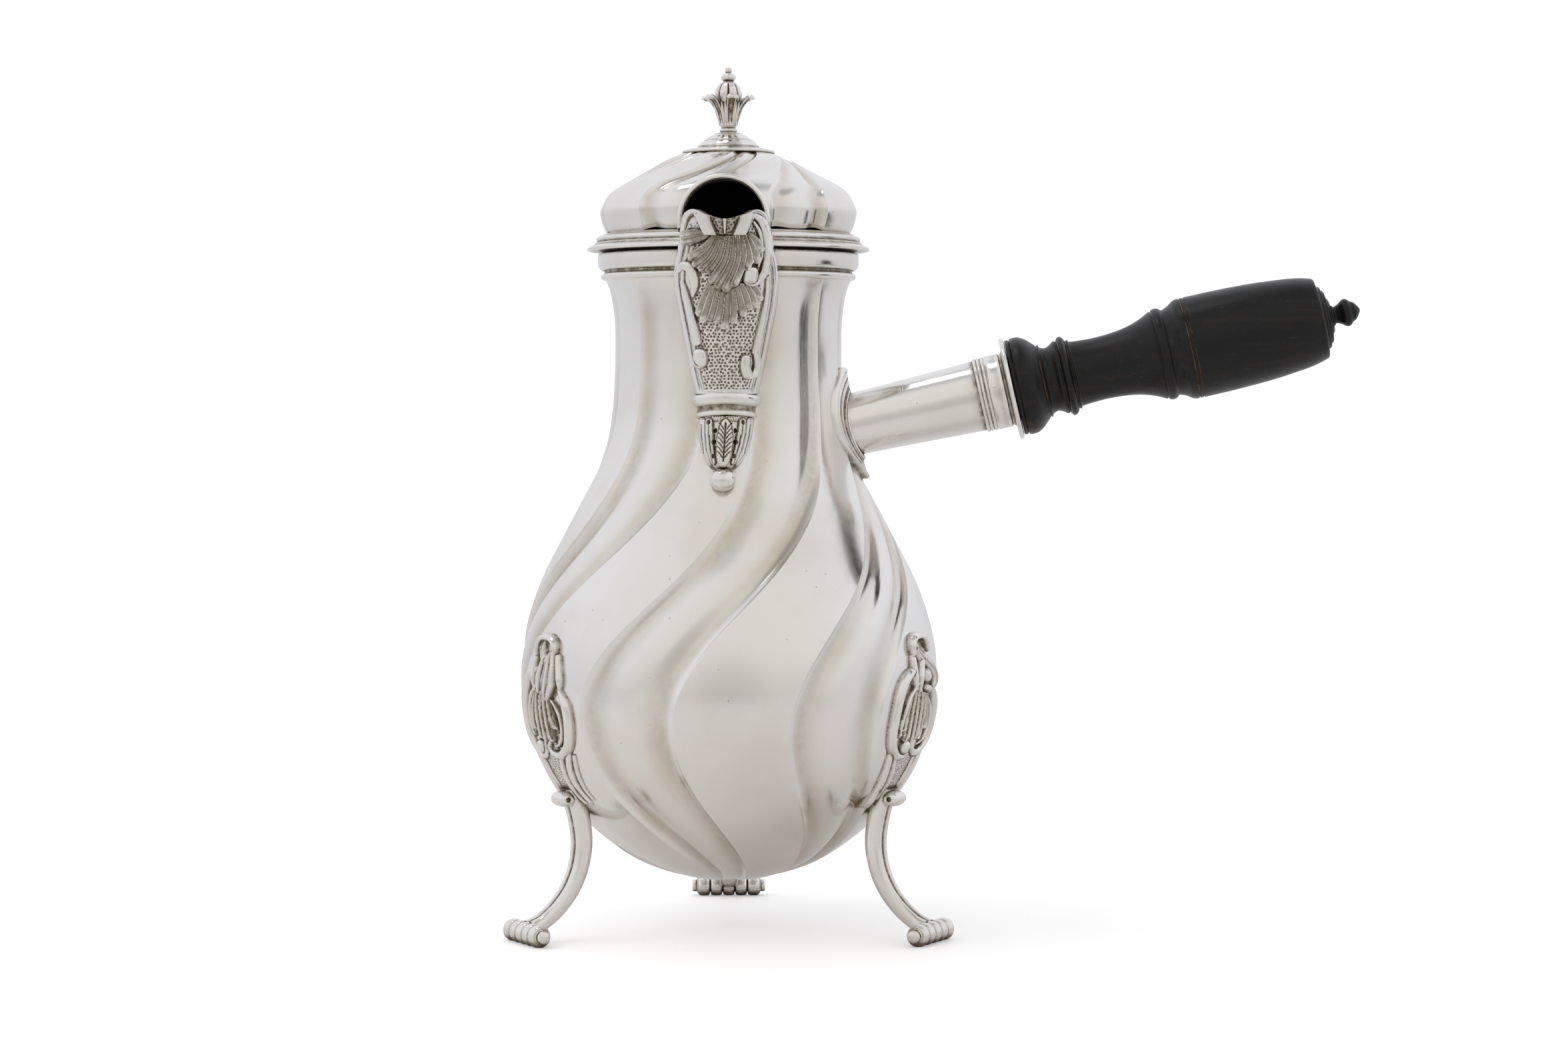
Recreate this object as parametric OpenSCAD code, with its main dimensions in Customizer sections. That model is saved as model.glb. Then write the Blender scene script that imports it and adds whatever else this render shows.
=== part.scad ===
// Side-handled silver coffee pot on three scroll legs, with a hinged, spirally fluted lid.
// Millimetres. The origin is where the pot's axis meets the table, +Z is up, the spout points
// along -Y, the handle along +X and the lid's hinge is at +Y.
// An azimuth is measured from the spout's side (-Y) towards the handle's side (+X).

/* [Body] */
// Greatest radius of the belly
belly_r = 68.4; // [66:0.1:71]
// Height of the greatest radius above the table
belly_z = 82; // [80:0.5:84]
// Radius of the neck at its narrowest
neck_r = 37.2; // [36.8:0.1:37.6]
// Height of the underside of the belly above the table
base_z = 16; // [14:0.5:17]
// Thickness of the raised silver sheet
wall = 0.8; // [0.7:0.1:1.2]

/* [Fluting] */
// Number of fluted bands round the body and the lid
flutes = 6; // [4:1:8]
// Depth of the coves in a band
flute_depth = 1.3; // [0.5:0.1:1.6]
// Share of each repeat that the band takes
band_share = 0.48; // [0.4:0.01:0.6]
// Azimuth of a band's right edge at the neck
neck_turn = 50; // [0:1:60]
// Turn of a band between the neck and the belly
swirl = 65; // [30:1:80]
// Turn back of a band under the belly
back_swirl = 33; // [0:1:45]

/* [Spout] */
// Turn of the spout from straight ahead
spout_turn = -1; // [-3:0.5:3]
// Height of the bottom of the spout's channel
channel_z = 174; // [173:0.5:175]
// Height of the lip's corners
lip_z = 230.4; // [229:0.2:231]
// Thickness of the cast wall
spout_wall = 1.3; // [1:0.1:1.6]
// Radius of the strainer's holes
strainer_r = 1.3; // [1:0.1:1.5]

/* [Handle] */
// Turn of the handle from square to the spout, towards the spout
handle_turn = -5; // [-8:1:0]
// Rise of the handle from the horizontal
handle_rise = 12.8; // [11:0.2:14]
// Height at which the handle's axis crosses the pot's axis
handle_z = 155; // [154:0.5:156]

/* [Lid] */
// Outer radius of the lid's rim
rim_r = 45.9; // [45.5:0.1:46]
// Greatest radius of the lid's dome
dome_r = 42.3; // [42:0.1:42.6]
// Radius of the arch over the spout
arch_r = 12.9; // [12:0.1:13.2]
// Turn of the arch from straight ahead
arch_turn = -2; // [-3:0.5:3]
// Gap between the lid and the mouth
lid_gap = 0.4; // [0.3:0.05:0.5]

/* [Legs] */
// Distance of each toe roll from the pot's axis
toe_u = 73.9; // [72:0.1:75]
// Radius of the toe roll's discs
toe_r = 3.6; // [3.4:0.1:4]
// Length of the toe roll without its end studs
toe_l = 21.5; // [20:0.5:23]

/* [Hidden] */

silver = [0.86, 0.85, 0.82];
blackwood = [0.09, 0.08, 0.08];
around = 60;              // facets round the fluted shells
smooth = 96;              // $fn of the turned pieces

mouth_r = 38;             // bore of the mouth
shell_top_z = 211;        // where the collar sits on the neck
collar_top_z = 219.4;
collar_r = 42.4;
rim_z = 219.8;            // underside of the lid's rim, where it bears on the collar
dome_z = 226;             // bottom edge of the dome
dome_top_z = 254.6;
arch_z = 228.3;           // centre of the arch's circle
stud_r = 1.5;
hinge_y = 48.6;
hinge_z = 220;
hinge_foot_y = 40.5;      // where the bracket's foot lies on the collar
hinge_foot_z = 212.5;
knuckle_r = 2.2;
hinge_pin_r = 1;
hinge_half = 9;           // half the hinge's length
middle_half = 3;          // half the lid's knuckle
hinge_gap = 0.3;          // side gap between the knuckles
running = 0.05;           // radial clearance of the pin in the lid's knuckle
tall = 300;               // more than the height of the pot
leg_azimuths = [-60, 60, 180];
cove_r = 40;              // inside all of the collar's mouldings
solder = 0.5;             // how far a soldered piece sinks into the sheet under it

// ---- curves and surfaces -------------------------------------------------------------------

// A point on the Catmull-Rom span between b and c.
function span(a, b, c, d, t) =
    b + 0.5 * t * ((c - a) + t * ((2 * a - 5 * b + 4 * c - d) + t * (3 * (b - c) + d - a)));
// A smooth curve through the points p, with n steps in each span.
function curve(p, n) = let (last = len(p) - 1) concat(
    [for (i = [0:last - 1], k = [0:n - 1])
        span(p[max(i - 1, 0)], p[i], p[i + 1], p[min(i + 2, last)], k / n)],
    [p[last]]);
function clamp01(x) = min(max(x, 0), 1);
function ease(x) = (1 - cos(180 * clamp01(x))) / 2;
// The point at an azimuth, a radius and a height.
function at(azimuth, r, z) = [r * sin(azimuth), -r * cos(azimuth), z];

// A solid between two grids of points with the same rows and columns: an outer and an inner face.
module sheet(outer, inner) {
    rows = len(outer);
    cols = len(outer[0]);
    back = rows * cols;
    edge = concat([for (c = [0:cols - 1]) c],
                  [for (r = [1:rows - 1]) r * cols + cols - 1],
                  [for (c = [cols - 2:-1:0]) (rows - 1) * cols + c],
                  [for (r = [rows - 2:-1:1]) r * cols]);
    faces = concat(
        [for (r = [0:rows - 2], c = [0:cols - 2], half = [0, 1])
            let (i = r * cols + c)
            half == 0 ? [i, i + cols, i + 1] : [i + 1, i + cols, i + cols + 1]],
        [for (r = [0:rows - 2], c = [0:cols - 2], half = [0, 1])
            let (i = back + r * cols + c)
            half == 0 ? [i, i + 1, i + cols] : [i + 1, i + cols + 1, i + cols]],
        [for (k = [0:len(edge) - 1], half = [0, 1])
            let (a = edge[k], b = edge[(k + 1) % len(edge)])
            half == 0 ? [a, b, back + b] : [a, back + b, back + a]]);
    polyhedron([for (g = [outer, inner], row = g, p = row) p], faces);
}

// A solid through closed rings of points: capped at both ends, or joined end to end as a loop.
module skin(rings, loop = false) {
    n = len(rings[0]);
    m = len(rings);
    faces = concat(
        [for (r = [0:m - (loop ? 1 : 2)], c = [0:n - 1], half = [0, 1])
            let (a = r * n + c, b = r * n + (c + 1) % n,
                 d = ((r + 1) % m) * n + c, e = ((r + 1) % m) * n + (c + 1) % n)
            half == 0 ? [a, d, b] : [b, d, e]],
        loop ? [] : [[for (c = [0:n - 1]) c], [for (c = [n - 1:-1:0]) (m - 1) * n + c]]);
    polyhedron([for (ring = rings, p = ring) p], faces);
}

// ---- fluted shells -------------------------------------------------------------------------

// Outline of the body as [radius, height], from the underside to the collar.
body_outline = curve([
    [1.5, base_z], [14, base_z + 1.2], [28, base_z + 5.8], [40, base_z + 13.5],
    [belly_r - 18, belly_z - 43.5], [belly_r - 11.2, belly_z - 35.5], [belly_r - 5.4, belly_z - 25.5],
    [belly_r - 1.6, belly_z - 13.5], [belly_r, belly_z], [belly_r - 1.9, belly_z + 14.5],
    [belly_r - 7.4, belly_z + 31], [52, 131], [43, 150], [neck_r + 1.7, 163.5],
    [neck_r + 0.1, 180], [neck_r, 196], [neck_r + 1.2, 206.5], [neck_r + 2.8, shell_top_z]
], 2);
body_table = [for (p = body_outline) [p[1], p[0]]];
function body_r(z) = lookup(z, body_table);

// Outline of the lid's dome, from its bottom edge to the hole for the stud.
dome_outline = curve([
    [dome_r - 2, dome_z], [dome_r - 0.9, dome_z + 2.5], [dome_r, dome_z + 6.4],
    [dome_r - 0.7, dome_z + 9], [dome_r - 3, dome_z + 12.9], [dome_r - 6.4, dome_z + 15.5],
    [dome_r - 11.6, dome_z + 18.1], [dome_r - 16.5, dome_z + 20.7], [18.5, dome_z + 24.7],
    [10, dome_top_z - 1], [stud_r + 0.2, dome_top_z]
], 1);

// Azimuth of a band's right edge at a height on the body and on the dome.
belly_turn_z = 70;
neck_turn_z = 172;
function body_turn(z) = neck_turn
    - swirl * ease((neck_turn_z - z) / (neck_turn_z - belly_turn_z))
    + back_swirl * pow(clamp01((belly_turn_z - z) / (belly_turn_z - base_z)), 2);
dome_turn = 48.5;
dome_swirl = 48;
swirl_z = 236;            // height above which the dome's bands turn
function lid_turn(z) = dome_turn + dome_swirl * pow(clamp01((z - swirl_z) / 16), 1.9);

// Depth of the fluting at an angle past a band's right edge: a plain panel, then a band with a
// cove on each side of a convex middle.
function cove(angle) =
    let (period = 360 / flutes, u = (angle / period) - floor(angle / period),
         v = (u - 1 + band_share) / band_share)
    v < 0 ? 0 : pow(sin(360 * v), 2);
// The unit normal into the vessel at point i of an outline that runs upwards.
function inward(outline, i) =
    let (t = outline[min(i + 1, len(outline) - 1)] - outline[max(i - 1, 0)]) [-t[1], t[0]] / norm(t);
// The ring of a fluted shell at point i of its outline, set inwards from the outer face.
function flute_ring(outline, i, inset, turn, depth) =
    [for (k = [0:around - 1]) let (azimuth = 360 * k / around,
            q = outline[i] + (inset + depth * cove(azimuth - turn)) * inward(outline, i))
        at(azimuth, q[0], q[1])];
function body_ring(i, inset) =
    let (p = body_outline[i], fade = clamp01((p[0] - 6) / 30) * clamp01((shell_top_z + 3 - p[1]) / 8))
    flute_ring(body_outline, i, inset, body_turn(p[1]), flute_depth * fade);
function dome_ring(i, inset) =
    let (p = dome_outline[i], fade = clamp01((p[0] - 8) / 20) * clamp01(0.4 + (p[1] - dome_z) / 5))
    flute_ring(dome_outline, i, inset, lid_turn(p[1]), flute_depth * fade);

module body_shell() {
    last = len(body_outline) - 1;
    outer = [for (i = [0:last]) body_ring(i, 0)];
    inner = [for (i = [last:-2:1]) body_ring(i, wall)];
    color(silver) difference() {
        skin(concat(outer, inner));
        strainer();
    }
}

// Holes in the neck behind the spout, in staggered rows.
strainer_z = 195;
module strainer() {
    pitch = 5.5;
    for (row = [-2:2], k = [-1:1])
        if (k < 1 || row % 2 == 0)
            rotate([90, 0, spout_turn])
                translate([(k + (row % 2 == 0 ? 0 : 0.5)) * pitch, strainer_z + row * pitch * 0.87, 30])
                    cylinder(h = 15, r = strainer_r, $fn = 24);
}

// ---- collar --------------------------------------------------------------------------------

module neck_collar() {
    color(silver) rotate_extrude($fn = smooth) polygon(concat(
        [[mouth_r, shell_top_z], [40.2, shell_top_z]],
        [for (a = [-80:20:80]) [40.4 + cos(a), 212.2 + sin(a)]],
        [[40.3, 213.6], [40.4, 214.2]],
        [for (a = [0:15:90]) [collar_r - 1.9 * cos(a), 214.2 + 2 * sin(a)]],
        [[collar_r, 216.4], [collar_r, collar_top_z - 0.3], [collar_r - 0.3, collar_top_z],
         [mouth_r, collar_top_z]]));
}

// ---- spout ---------------------------------------------------------------------------------

// Half width of the spout, and the distance of its front from the pot's axis, at a height.
spout_width = [[channel_z, 10], [186, 12.3], [198, 14.8], [210, 16.6], [215, 16], [222, 14.3], [232, 12.8]];
spout_reach = [[channel_z, 49.5], [186, 51.8], [198, 54.8], [210, 58.8], [222, 64], [232, 68.5]];
lid_clear_y = rim_r + 0.5;
// Distance of the spout's side edges from the pot's axis plane: on the neck, on the collar, or
// in front of the lid's rim.
function spout_back(z) =
    let (w = lookup(z, spout_width))
    z > collar_top_z + 0.4 ? lid_clear_y :
    z > shell_top_z ? sqrt(pow(cove_r, 2) - pow(w, 2)) :
    sqrt(pow(body_r(z), 2) - pow(w, 2)) - solder;
// The point on the spout at a turn round its front, a height and an offset outwards.
function spout_point(turn, z, off) =
    let (w = lookup(z, spout_width) + off, back = spout_back(z))
    [w * sin(turn), -back - (lookup(z, spout_reach) - back + off) * pow(cos(turn), 0.85), z];
// The lip dips to a pouring notch between two raised corners.
function lip_height(turn) = lip_z - 2.8 * exp(-pow(turn / 22, 2));

spout_turns = [for (t = [-90:10:90]) t];
spout_rows = [0, 0.12, 0.25, 0.4, 0.52, 0.65, 0.7, (collar_top_z - channel_z) / (lip_z - channel_z),
              (collar_top_z + 0.41 - channel_z) / (lip_z - channel_z), 0.9, 1];
function spout_face(off) =
    [for (row = spout_rows) [for (turn = spout_turns)
        spout_point(turn, channel_z + row * (lip_height(turn) - channel_z), off)]];

module spout_channel() {
    color(silver) rotate([0, 0, spout_turn]) sheet(spout_face(0), spout_face(-spout_wall));
}

// A D-shaped ring that stands on the neck: flat at the back, rounded at the front.
function d_ring(z, w, reach) =
    let (back = sqrt(pow(body_r(z), 2) - pow(w, 2)) - solder)
    [for (t = [-90:15:90]) [w * sin(t) - lean_at(z), -back - (reach - back) * cos(t), z]];
// The calyx leans a little to one side on its way down to the drop.
drop_lean = 1;
drop_z = 147;
drop_reach = 46.6;
drop_r = 3.9;
function lean_at(z) = drop_lean * pow(sin(90 * clamp01((168 - z) / 21)), 2);

module spout_band() {
    color(silver) rotate([0, 0, spout_turn]) skin([for (k = [0:5])
        let (bulge = sin(180 * (k + 0.5) / 6))
        d_ring(167 + (channel_z - 167) * k / 5, 9.3 + 1.3 * bulge, 48.7 + 1.8 * bulge)]);
}
module spout_calyx() {
    color(silver) rotate([0, 0, spout_turn]) skin([
        d_ring(150.5, 3, 47), d_ring(152, 4.6, 47.6), d_ring(155, 6.2, 48), d_ring(159, 7.6, 48.3),
        d_ring(163, 8.5, 48.5), d_ring(167, 9, 48.6)]);
}
module spout_ball() {
    color(silver) rotate([0, 0, spout_turn]) translate([-drop_lean, -drop_reach, drop_z])
        sphere(r = drop_r, $fn = 48);
}

// The applied scallop: a large fan over a small one, with radiating ribs.
scallop_outline = [
    [185, 1], [188, 5], [194, 6.5], [198, 6], [201, 8], [207, 10], [214, 9.5], [220, 7], [223, 5]];
module scallop_sheet(columns = 12) {
    zs = [for (p = scallop_outline) p[0]];
    function face(base, rib) = [for (z = zs) let (half = lookup(z, scallop_outline))
        [for (c = [0:columns]) let (x = half * (2 * c / columns - 1))
            spout_point(asin(x / lookup(z, spout_width)), z, base + rib * (c % 2))]];
    sheet(face(0.9, 0.7), face(-0.3, 0));
}
module spout_scallop() {
    color(silver) rotate([0, 0, spout_turn]) scallop_sheet();
}

// A tapering strap that follows hand-chosen points [sideways, height] on the spout.
function tube_ring(p, ahead, r, n = 8) =
    let (dir = (ahead - p) / norm(ahead - p), side = cross(dir, [0, -1, 0]), s = side / norm(side),
         up = cross(dir, s))
    [for (k = [0:n - 1]) p + r * (s * cos(360 * k / n) + up * sin(360 * k / n))];
module strap(points, r_mid, r_end) {
    path = [for (p = curve(points, 3)) spout_point(asin(p[0] / lookup(p[1], spout_width)), p[1], 0.4)];
    last = len(path) - 1;
    skin([for (i = [0:last])
        let (a = path[max(i - 1, 0)], b = path[min(i + 1, last)],
             r = r_end + (r_mid - r_end) * sin(180 * i / last))
        tube_ring(path[i], path[i] + b - a, r)]);
    translate(path[0]) sphere(r = 1.9, $fn = 24);
    translate(path[last]) sphere(r = 2.2, $fn = 24);
}
strap_points = [[8.5, 210], [12.5, 211.5], [13.4, 206], [12, 198], [9.8, 189], [7.2, 183], [5.4, 186.5]];
module spout_scroll_left() {
    color(silver) rotate([0, 0, spout_turn]) strap([for (p = strap_points) [-p[0], p[1]]], 1.5, 0.9);
}
module spout_scroll_right() {
    color(silver) rotate([0, 0, spout_turn]) strap(strap_points, 1.5, 0.9);
}

// ---- handle --------------------------------------------------------------------------------

// Places a piece on the handle's axis, with its own +Z outwards from the pot's axis.
module on_handle() {
    rotate([0, 0, handle_turn]) translate([0, 0, handle_z]) rotate([0, 90 - handle_rise, 0]) children();
}

// The moulded plate that joins the socket to the neck. Its rings run round the handle's axis and
// lie on the neck. The outline is an upright oval set above the axis, with a small leaf below it.
plate_hole = 9.6;
plate_z = handle_z + neck_r * tan(handle_rise);
function plate_point(turn, rho, lift) =
    let (z = plate_z + rho * cos(turn), r = body_r(z) + lift)
    at(90 + asin(rho * sin(turn) / r), r, z);
plate_half = 16.2;
plate_shift = 3.2;
plate_leaf = 3.9;
function plate_reach(turn) =
    plate_half + plate_shift * cos(turn) + plate_leaf * exp(-pow((turn - 180) / 14, 2));
module handle_escutcheon() {
    turns = [for (t = [0:15:345]) t];
    steps = [[0, 2.9], [0.15, 2.4], [0.45, 1.8], [0.7, 1.6], [0.9, 1.4], [1, 0.8], [1, -1.4], [0, -1.4]];
    color(silver) rotate([0, 0, handle_turn])
        skin([for (s = steps) [for (t = turns)
            plate_point(t, plate_hole + (plate_reach(t) - plate_hole) * s[0], s[1])]], loop = true);
}

// Distances along the handle's axis from the pot's axis.
socket_end = 92.5;
disc_start = 93.4;
disc_end = 95.2;
tenon_start = 60;
pin_distance = 89;
wood_end = 199.6;
button_start = 189;
socket_bore = 9.2;
module socket_profile() {
    polygon(concat(
        [[socket_bore, 30], [10.1, 30], [11.4, 84]],
        [for (ring = [85.3, 87.2], a = [-75:25:75]) [11.7 + 0.8 * cos(a), ring + 0.9 * sin(a)]],
        [[11.9, 88.4]],
        [for (a = [-60:20:60]) [12.05 + 0.75 * cos(a), 90.6 + 1.8 * sin(a)]],
        [[12.2, socket_end], [socket_bore, socket_end]]));
}
// The heights between which the socket is cut to the neck.
core_low = 139;
core_high = 190;
module handle_socket() {
    color(silver) difference() {
        on_handle() rotate_extrude($fn = smooth) socket_profile();
        rotate_extrude($fn = smooth) polygon(concat([[0, core_low]],
            [for (z = [core_low:3:core_high]) [body_r(z) - solder, z]], [[0, core_high]]));
        on_handle() socket_pin_shafts();
    }
}
// The silver washer between the socket and the wood.
module socket_disc() {
    color(silver) on_handle() rotate_extrude($fn = smooth) polygon(concat(
        [[socket_bore, socket_end], [12, socket_end], [12.2, disc_start]],
        [for (a = [-80:20:80]) [15.9 + 0.7 * cos(a), (disc_start + disc_end) / 2 + 0.85 * sin(a)]],
        [[socket_bore, disc_end]]));
}
// Two pins through the ferrule hold the wooden tenon.
module socket_pin_shafts() {
    for (turn = [-100, 80])
        rotate([0, 0, turn]) translate([7.6, 0, pin_distance]) rotate([0, 90, 0])
            cylinder(h = 5.3, r = 0.7, $fn = 24);
}
module socket_pins() {
    color(silver) on_handle() socket_pin_shafts();
}

// Turned outline of the wooden grip, as [distance, radius].
grip_outline = concat(
    [[disc_end, 15.4], [96.4, 15.7], [96.6, 15.4]],
    curve([[96.9, 15.9], [99.5, 15.8], [102, 14.3], [104.6, 12.1]], 3),
    [[105, 11.4], [105.4, 11.3]],
    curve([[105.8, 10.7], [107.6, 10.4], [109.2, 11.2], [110.6, 11.9]], 3),
    curve([[111.2, 11.9], [112, 12.7], [113, 12.8], [113.8, 12.1], [114.4, 11.3]], 2),
    [[115, 11.1], [115.3, 10.6]],
    curve([[116, 10.5], [124, 10.1], [131, 10.6], [137.5, 12], [142.5, 14.3]], 4),
    [[143.4, 14.6], [144, 14.4], [144.8, 14.8], [146, 14.8], [146.6, 14]],
    curve([[147.6, 13.9], [149, 14.6], [150.5, 15.9], [152, 16.4]], 3),
    [[153.4, 16.4], [153.7, 16.1], [154.6, 16.4], [154.9, 16.1], [155.2, 16.4]],
    curve([[156, 16.4], [170, 16.1], [181, 15.4], [189, 14.6], [195, 13.4]], 4),
    [[196, 13.1], [196.4, 12.4], [196.6, 10.4], [197.6, 10], [197.8, 8.8], [198.6, 8.4], [198.9, 5.8],
     [wood_end, 5.4]]);
button_bore = 1.9;
module wood_handle() {
    color(blackwood) on_handle() difference() {
        rotate_extrude($fn = smooth) polygon(concat(
            [[0, tenon_start], [socket_bore - 0.05, tenon_start], [socket_bore - 0.05, disc_end]],
            [for (p = grip_outline) [p[1], p[0]]], [[0, wood_end]]));
        translate([0, 0, button_start]) cylinder(h = 12, r = button_bore, $fn = 48);
        socket_pin_shafts();
    }
}
// The turned button plugged into the end of the grip.
module handle_button() {
    color(blackwood) on_handle() rotate_extrude($fn = smooth) polygon(concat(
        [[0, button_start], [button_bore, button_start], [button_bore, wood_end]],
        [[3.4, wood_end], [2.8, 200.6]],
        curve([[2.7, 201], [3.6, 202.6], [4.5, 204.4], [4.2, 205.9], [2.9, 207.4], [1.3, 208.4]], 3),
        [[0, 208.8]]));
}

// ---- legs ----------------------------------------------------------------------------------

// Centre line of a leg in its own upright plane, as [distance from the pot's axis, height].
leg_line = curve([
    [57.4, 48.5], [56, 43], [54.6, 36], [54.2, 30], [55, 23.5], [58, 16.8], [63, 10.6], [69, 5.8],
    [toe_u - 0.8, 4]], 2);
knee = [61.4, 45.6];
// Half widths of the leg across its plane and in it, from knee to toe.
function leg_half(t) = [4 - 0.9 * t, 3.3 - 0.9 * t];
module leg() {
    last = len(leg_line) - 1;
    skin([for (i = [0:last])
        let (p = leg_line[i], a = leg_line[max(i - 1, 0)], b = leg_line[min(i + 1, last)],
             dir = (b - a) / norm(b - a), n = [-dir[1], dir[0]], half = leg_half(i / last))
        [for (k = [0:11]) let (turn = 30 * k,
                groove = k == 3 ? 0.72 : 1,
                q = p + n * (half[1] * sin(turn) * groove))
            [half[0] * cos(turn), -q[0], q[1]]]]);
    translate([0, -knee[0], knee[1]]) rotate([0, 90, 0]) cylinder(h = 7, r = 2.7, center = true, $fn = 48);
}
module place_leg(i) {
    rotate([0, 0, leg_azimuths[i]]) children();
}
module front_left_leg() { color(silver) place_leg(0) leg(); }
module front_right_leg() { color(silver) place_leg(1) leg(); }
module back_leg() { color(silver) place_leg(2) leg(); }

// The cast cartouche that fixes a leg to the belly, as half widths at heights.
cartouche_outline = [
    [46, 11], [50, 8.5], [55, 8], [58, 11.5], [64, 14.2], [72, 14], [79, 11.5], [85, 8.5],
    [91, 6], [96.5, 3]];
module cartouche(columns = 10) {
    zs = [for (p = cartouche_outline) p[0]];
    function face(lift, ribs) = [for (z = zs) let (half = lookup(z, cartouche_outline))
        [for (c = [0:columns])
            let (s = 2 * c / columns - 1,
                 r = body_r(z) + lift + ribs * (pow(s, 2) < 0.3 ? 0.5 + 0.5 * (c % 2) : 1.1))
            at(asin(half * s / r), r, z)]];
    sheet(face(1, 1.4), face(-1.6, 0));
}
module front_left_cartouche() { color(silver) place_leg(0) cartouche(); }
module front_right_cartouche() { color(silver) place_leg(1) cartouche(); }
module back_cartouche() { color(silver) place_leg(2) cartouche(); }

// The ribbed roll that the leg stands on, flattened where it touches the table.
module toe_roll() {
    discs = 5;
    pitch = toe_l / discs;
    difference() {
        translate([0, -toe_u, toe_r - 0.2]) rotate([0, 90, 0]) rotate_extrude($fn = 48) polygon(concat(
            [[0, -toe_l / 2 - 1.9], [2, -toe_l / 2 - 1.9], [2.1, -toe_l / 2]],
            [for (k = [0:discs - 1], a = [-60:30:60])
                [toe_r - 0.9 + 0.9 * cos(a * 1.4), -toe_l / 2 + (k + 0.5 + a / 130) * pitch]],
            [[2.1, toe_l / 2], [2, toe_l / 2 + 1.9], [0, toe_l / 2 + 1.9]]));
        translate([-toe_l, -toe_u - 10, -5]) cube([2 * toe_l, 20, 5]);
    }
}
module front_left_toe_roll() { color(silver) place_leg(0) toe_roll(); }
module front_right_toe_roll() { color(silver) place_leg(1) toe_roll(); }
module back_toe_roll() { color(silver) place_leg(2) toe_roll(); }

// ---- hinge ---------------------------------------------------------------------------------

module barrel(from, to) {
    translate([from, hinge_y, hinge_z]) rotate([0, 90, 0]) cylinder(h = to - from, r = knuckle_r, $fn = 48);
}
module pin_bore(r) {
    translate([-hinge_half - 1, hinge_y, hinge_z]) rotate([0, 90, 0])
        cylinder(h = 2 * hinge_half + 2, r = r, $fn = 48);
}
// The foot and the two outer knuckles, soldered to the collar.
module hinge_bracket() {
    knuckle_l = hinge_half - middle_half - hinge_gap;
    color(silver) difference() {
        union() {
            for (from = [-hinge_half, middle_half + hinge_gap]) {
                barrel(from, from + knuckle_l);
                translate([from, hinge_foot_y, hinge_foot_z])
                    cube([knuckle_l, hinge_y - hinge_foot_y + 1.6, hinge_z - hinge_foot_z - 0.8]);
            }
            translate([-hinge_half, hinge_foot_y, hinge_foot_z]) cube([2 * hinge_half, 4.6, 4.6]);
        }
        cylinder(h = tall, r = collar_r - solder, $fn = smooth);
        pin_bore(hinge_pin_r);
    }
}
module hinge_pin() {
    color(silver) pin_bore(hinge_pin_r);
}
// The lid's knuckle with its leaf, soldered to the rim.
module lid_hinge_strap() {
    leaf_z = hinge_z + 1.4;
    leaf_t = 0.8;
    color(silver) difference() {
        union() {
            barrel(-middle_half, middle_half);
            translate([-middle_half, hinge_foot_y, leaf_z])
                cube([2 * middle_half, hinge_y - hinge_foot_y, leaf_t]);
            translate([-middle_half, hinge_foot_y, leaf_z + leaf_t]) cube([2 * middle_half, 4.2, 1.4]);
        }
        cylinder(h = tall, r = rim_r - 3.3, $fn = smooth);
        pin_bore(hinge_pin_r + running);
    }
}

// ---- lid -----------------------------------------------------------------------------------

bezel_r = mouth_r - lid_gap;
module lid_dome() {
    last = len(dome_outline) - 1;
    outer = [for (i = [0:last]) dome_ring(i, 0)];
    inner = [for (i = [last:-1:0]) dome_ring(i, wall)];
    color(silver) difference() {
        skin(concat(outer, inner), loop = true);
        arch_opening(arch_r);
    }
}
// The arched opening over the spout, through the front of the dome only.
visor_w = 1.7;
visor_front = 45.3;
visor_back = 28;
module arch_place(y) {
    rotate([90, 0, arch_turn]) translate([0, arch_z, y]) children();
}
module arch_opening(r) {
    arch_place(15) linear_extrude(60) {
        circle(r = r, $fn = smooth);
        translate([-r, -10]) square([2 * r, 10]);
    }
}
// A short arched visor soldered round the opening.
module lid_visor() {
    foot = arch_z - dome_z;
    color(silver) difference() {
        arch_place(visor_back) linear_extrude(visor_front - visor_back) difference() {
            circle(r = arch_r + visor_w, $fn = smooth);
            circle(r = arch_r, $fn = smooth);
            translate([-20, -20 - foot]) square([40, 20]);
        }
        rotate_extrude($fn = smooth) polygon(concat(
            [[0, dome_z - 5], [dome_outline[0][0] - wall, dome_z - 5]],
            [for (p = dome_outline) [p[0] - wall, p[1]]],
            [[0, dome_top_z]]));
    }
}
module lid_rim() {
    color(silver) rotate_extrude($fn = smooth) polygon(concat(
        [[bezel_r - 0.9, rim_z + 1], [bezel_r, rim_z + 1], [bezel_r + 0.9, rim_z], [40.8, rim_z],
         [41.4, rim_z + 0.5], [rim_r - 1.6, rim_z + 0.5]],
        [for (a = [-60:30:60]) [rim_r - 0.6 + 0.6 * cos(a), 220.95 + 0.6 * sin(a)]],
        [[rim_r - 1.2, 222.2], [43.4, 222.8], [43.1, 223.5]],
        [for (a = [0:20:80]) [41.8 + 1.1 * cos(a), 224 + 1.1 * sin(a)]],
        [[41.3, 225.1], [dome_r - 2, dome_z], [bezel_r - 0.9, dome_z]]));
}
// The ring that drops into the mouth.
module lid_bezel() {
    color(silver) rotate_extrude($fn = smooth) polygon([
        [bezel_r - 0.9, 214.8], [bezel_r - 0.2, 214.8], [bezel_r, 215.4], [bezel_r, rim_z + 1],
        [bezel_r - 0.9, rim_z + 1]]);
}

// ---- finial --------------------------------------------------------------------------------

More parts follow.
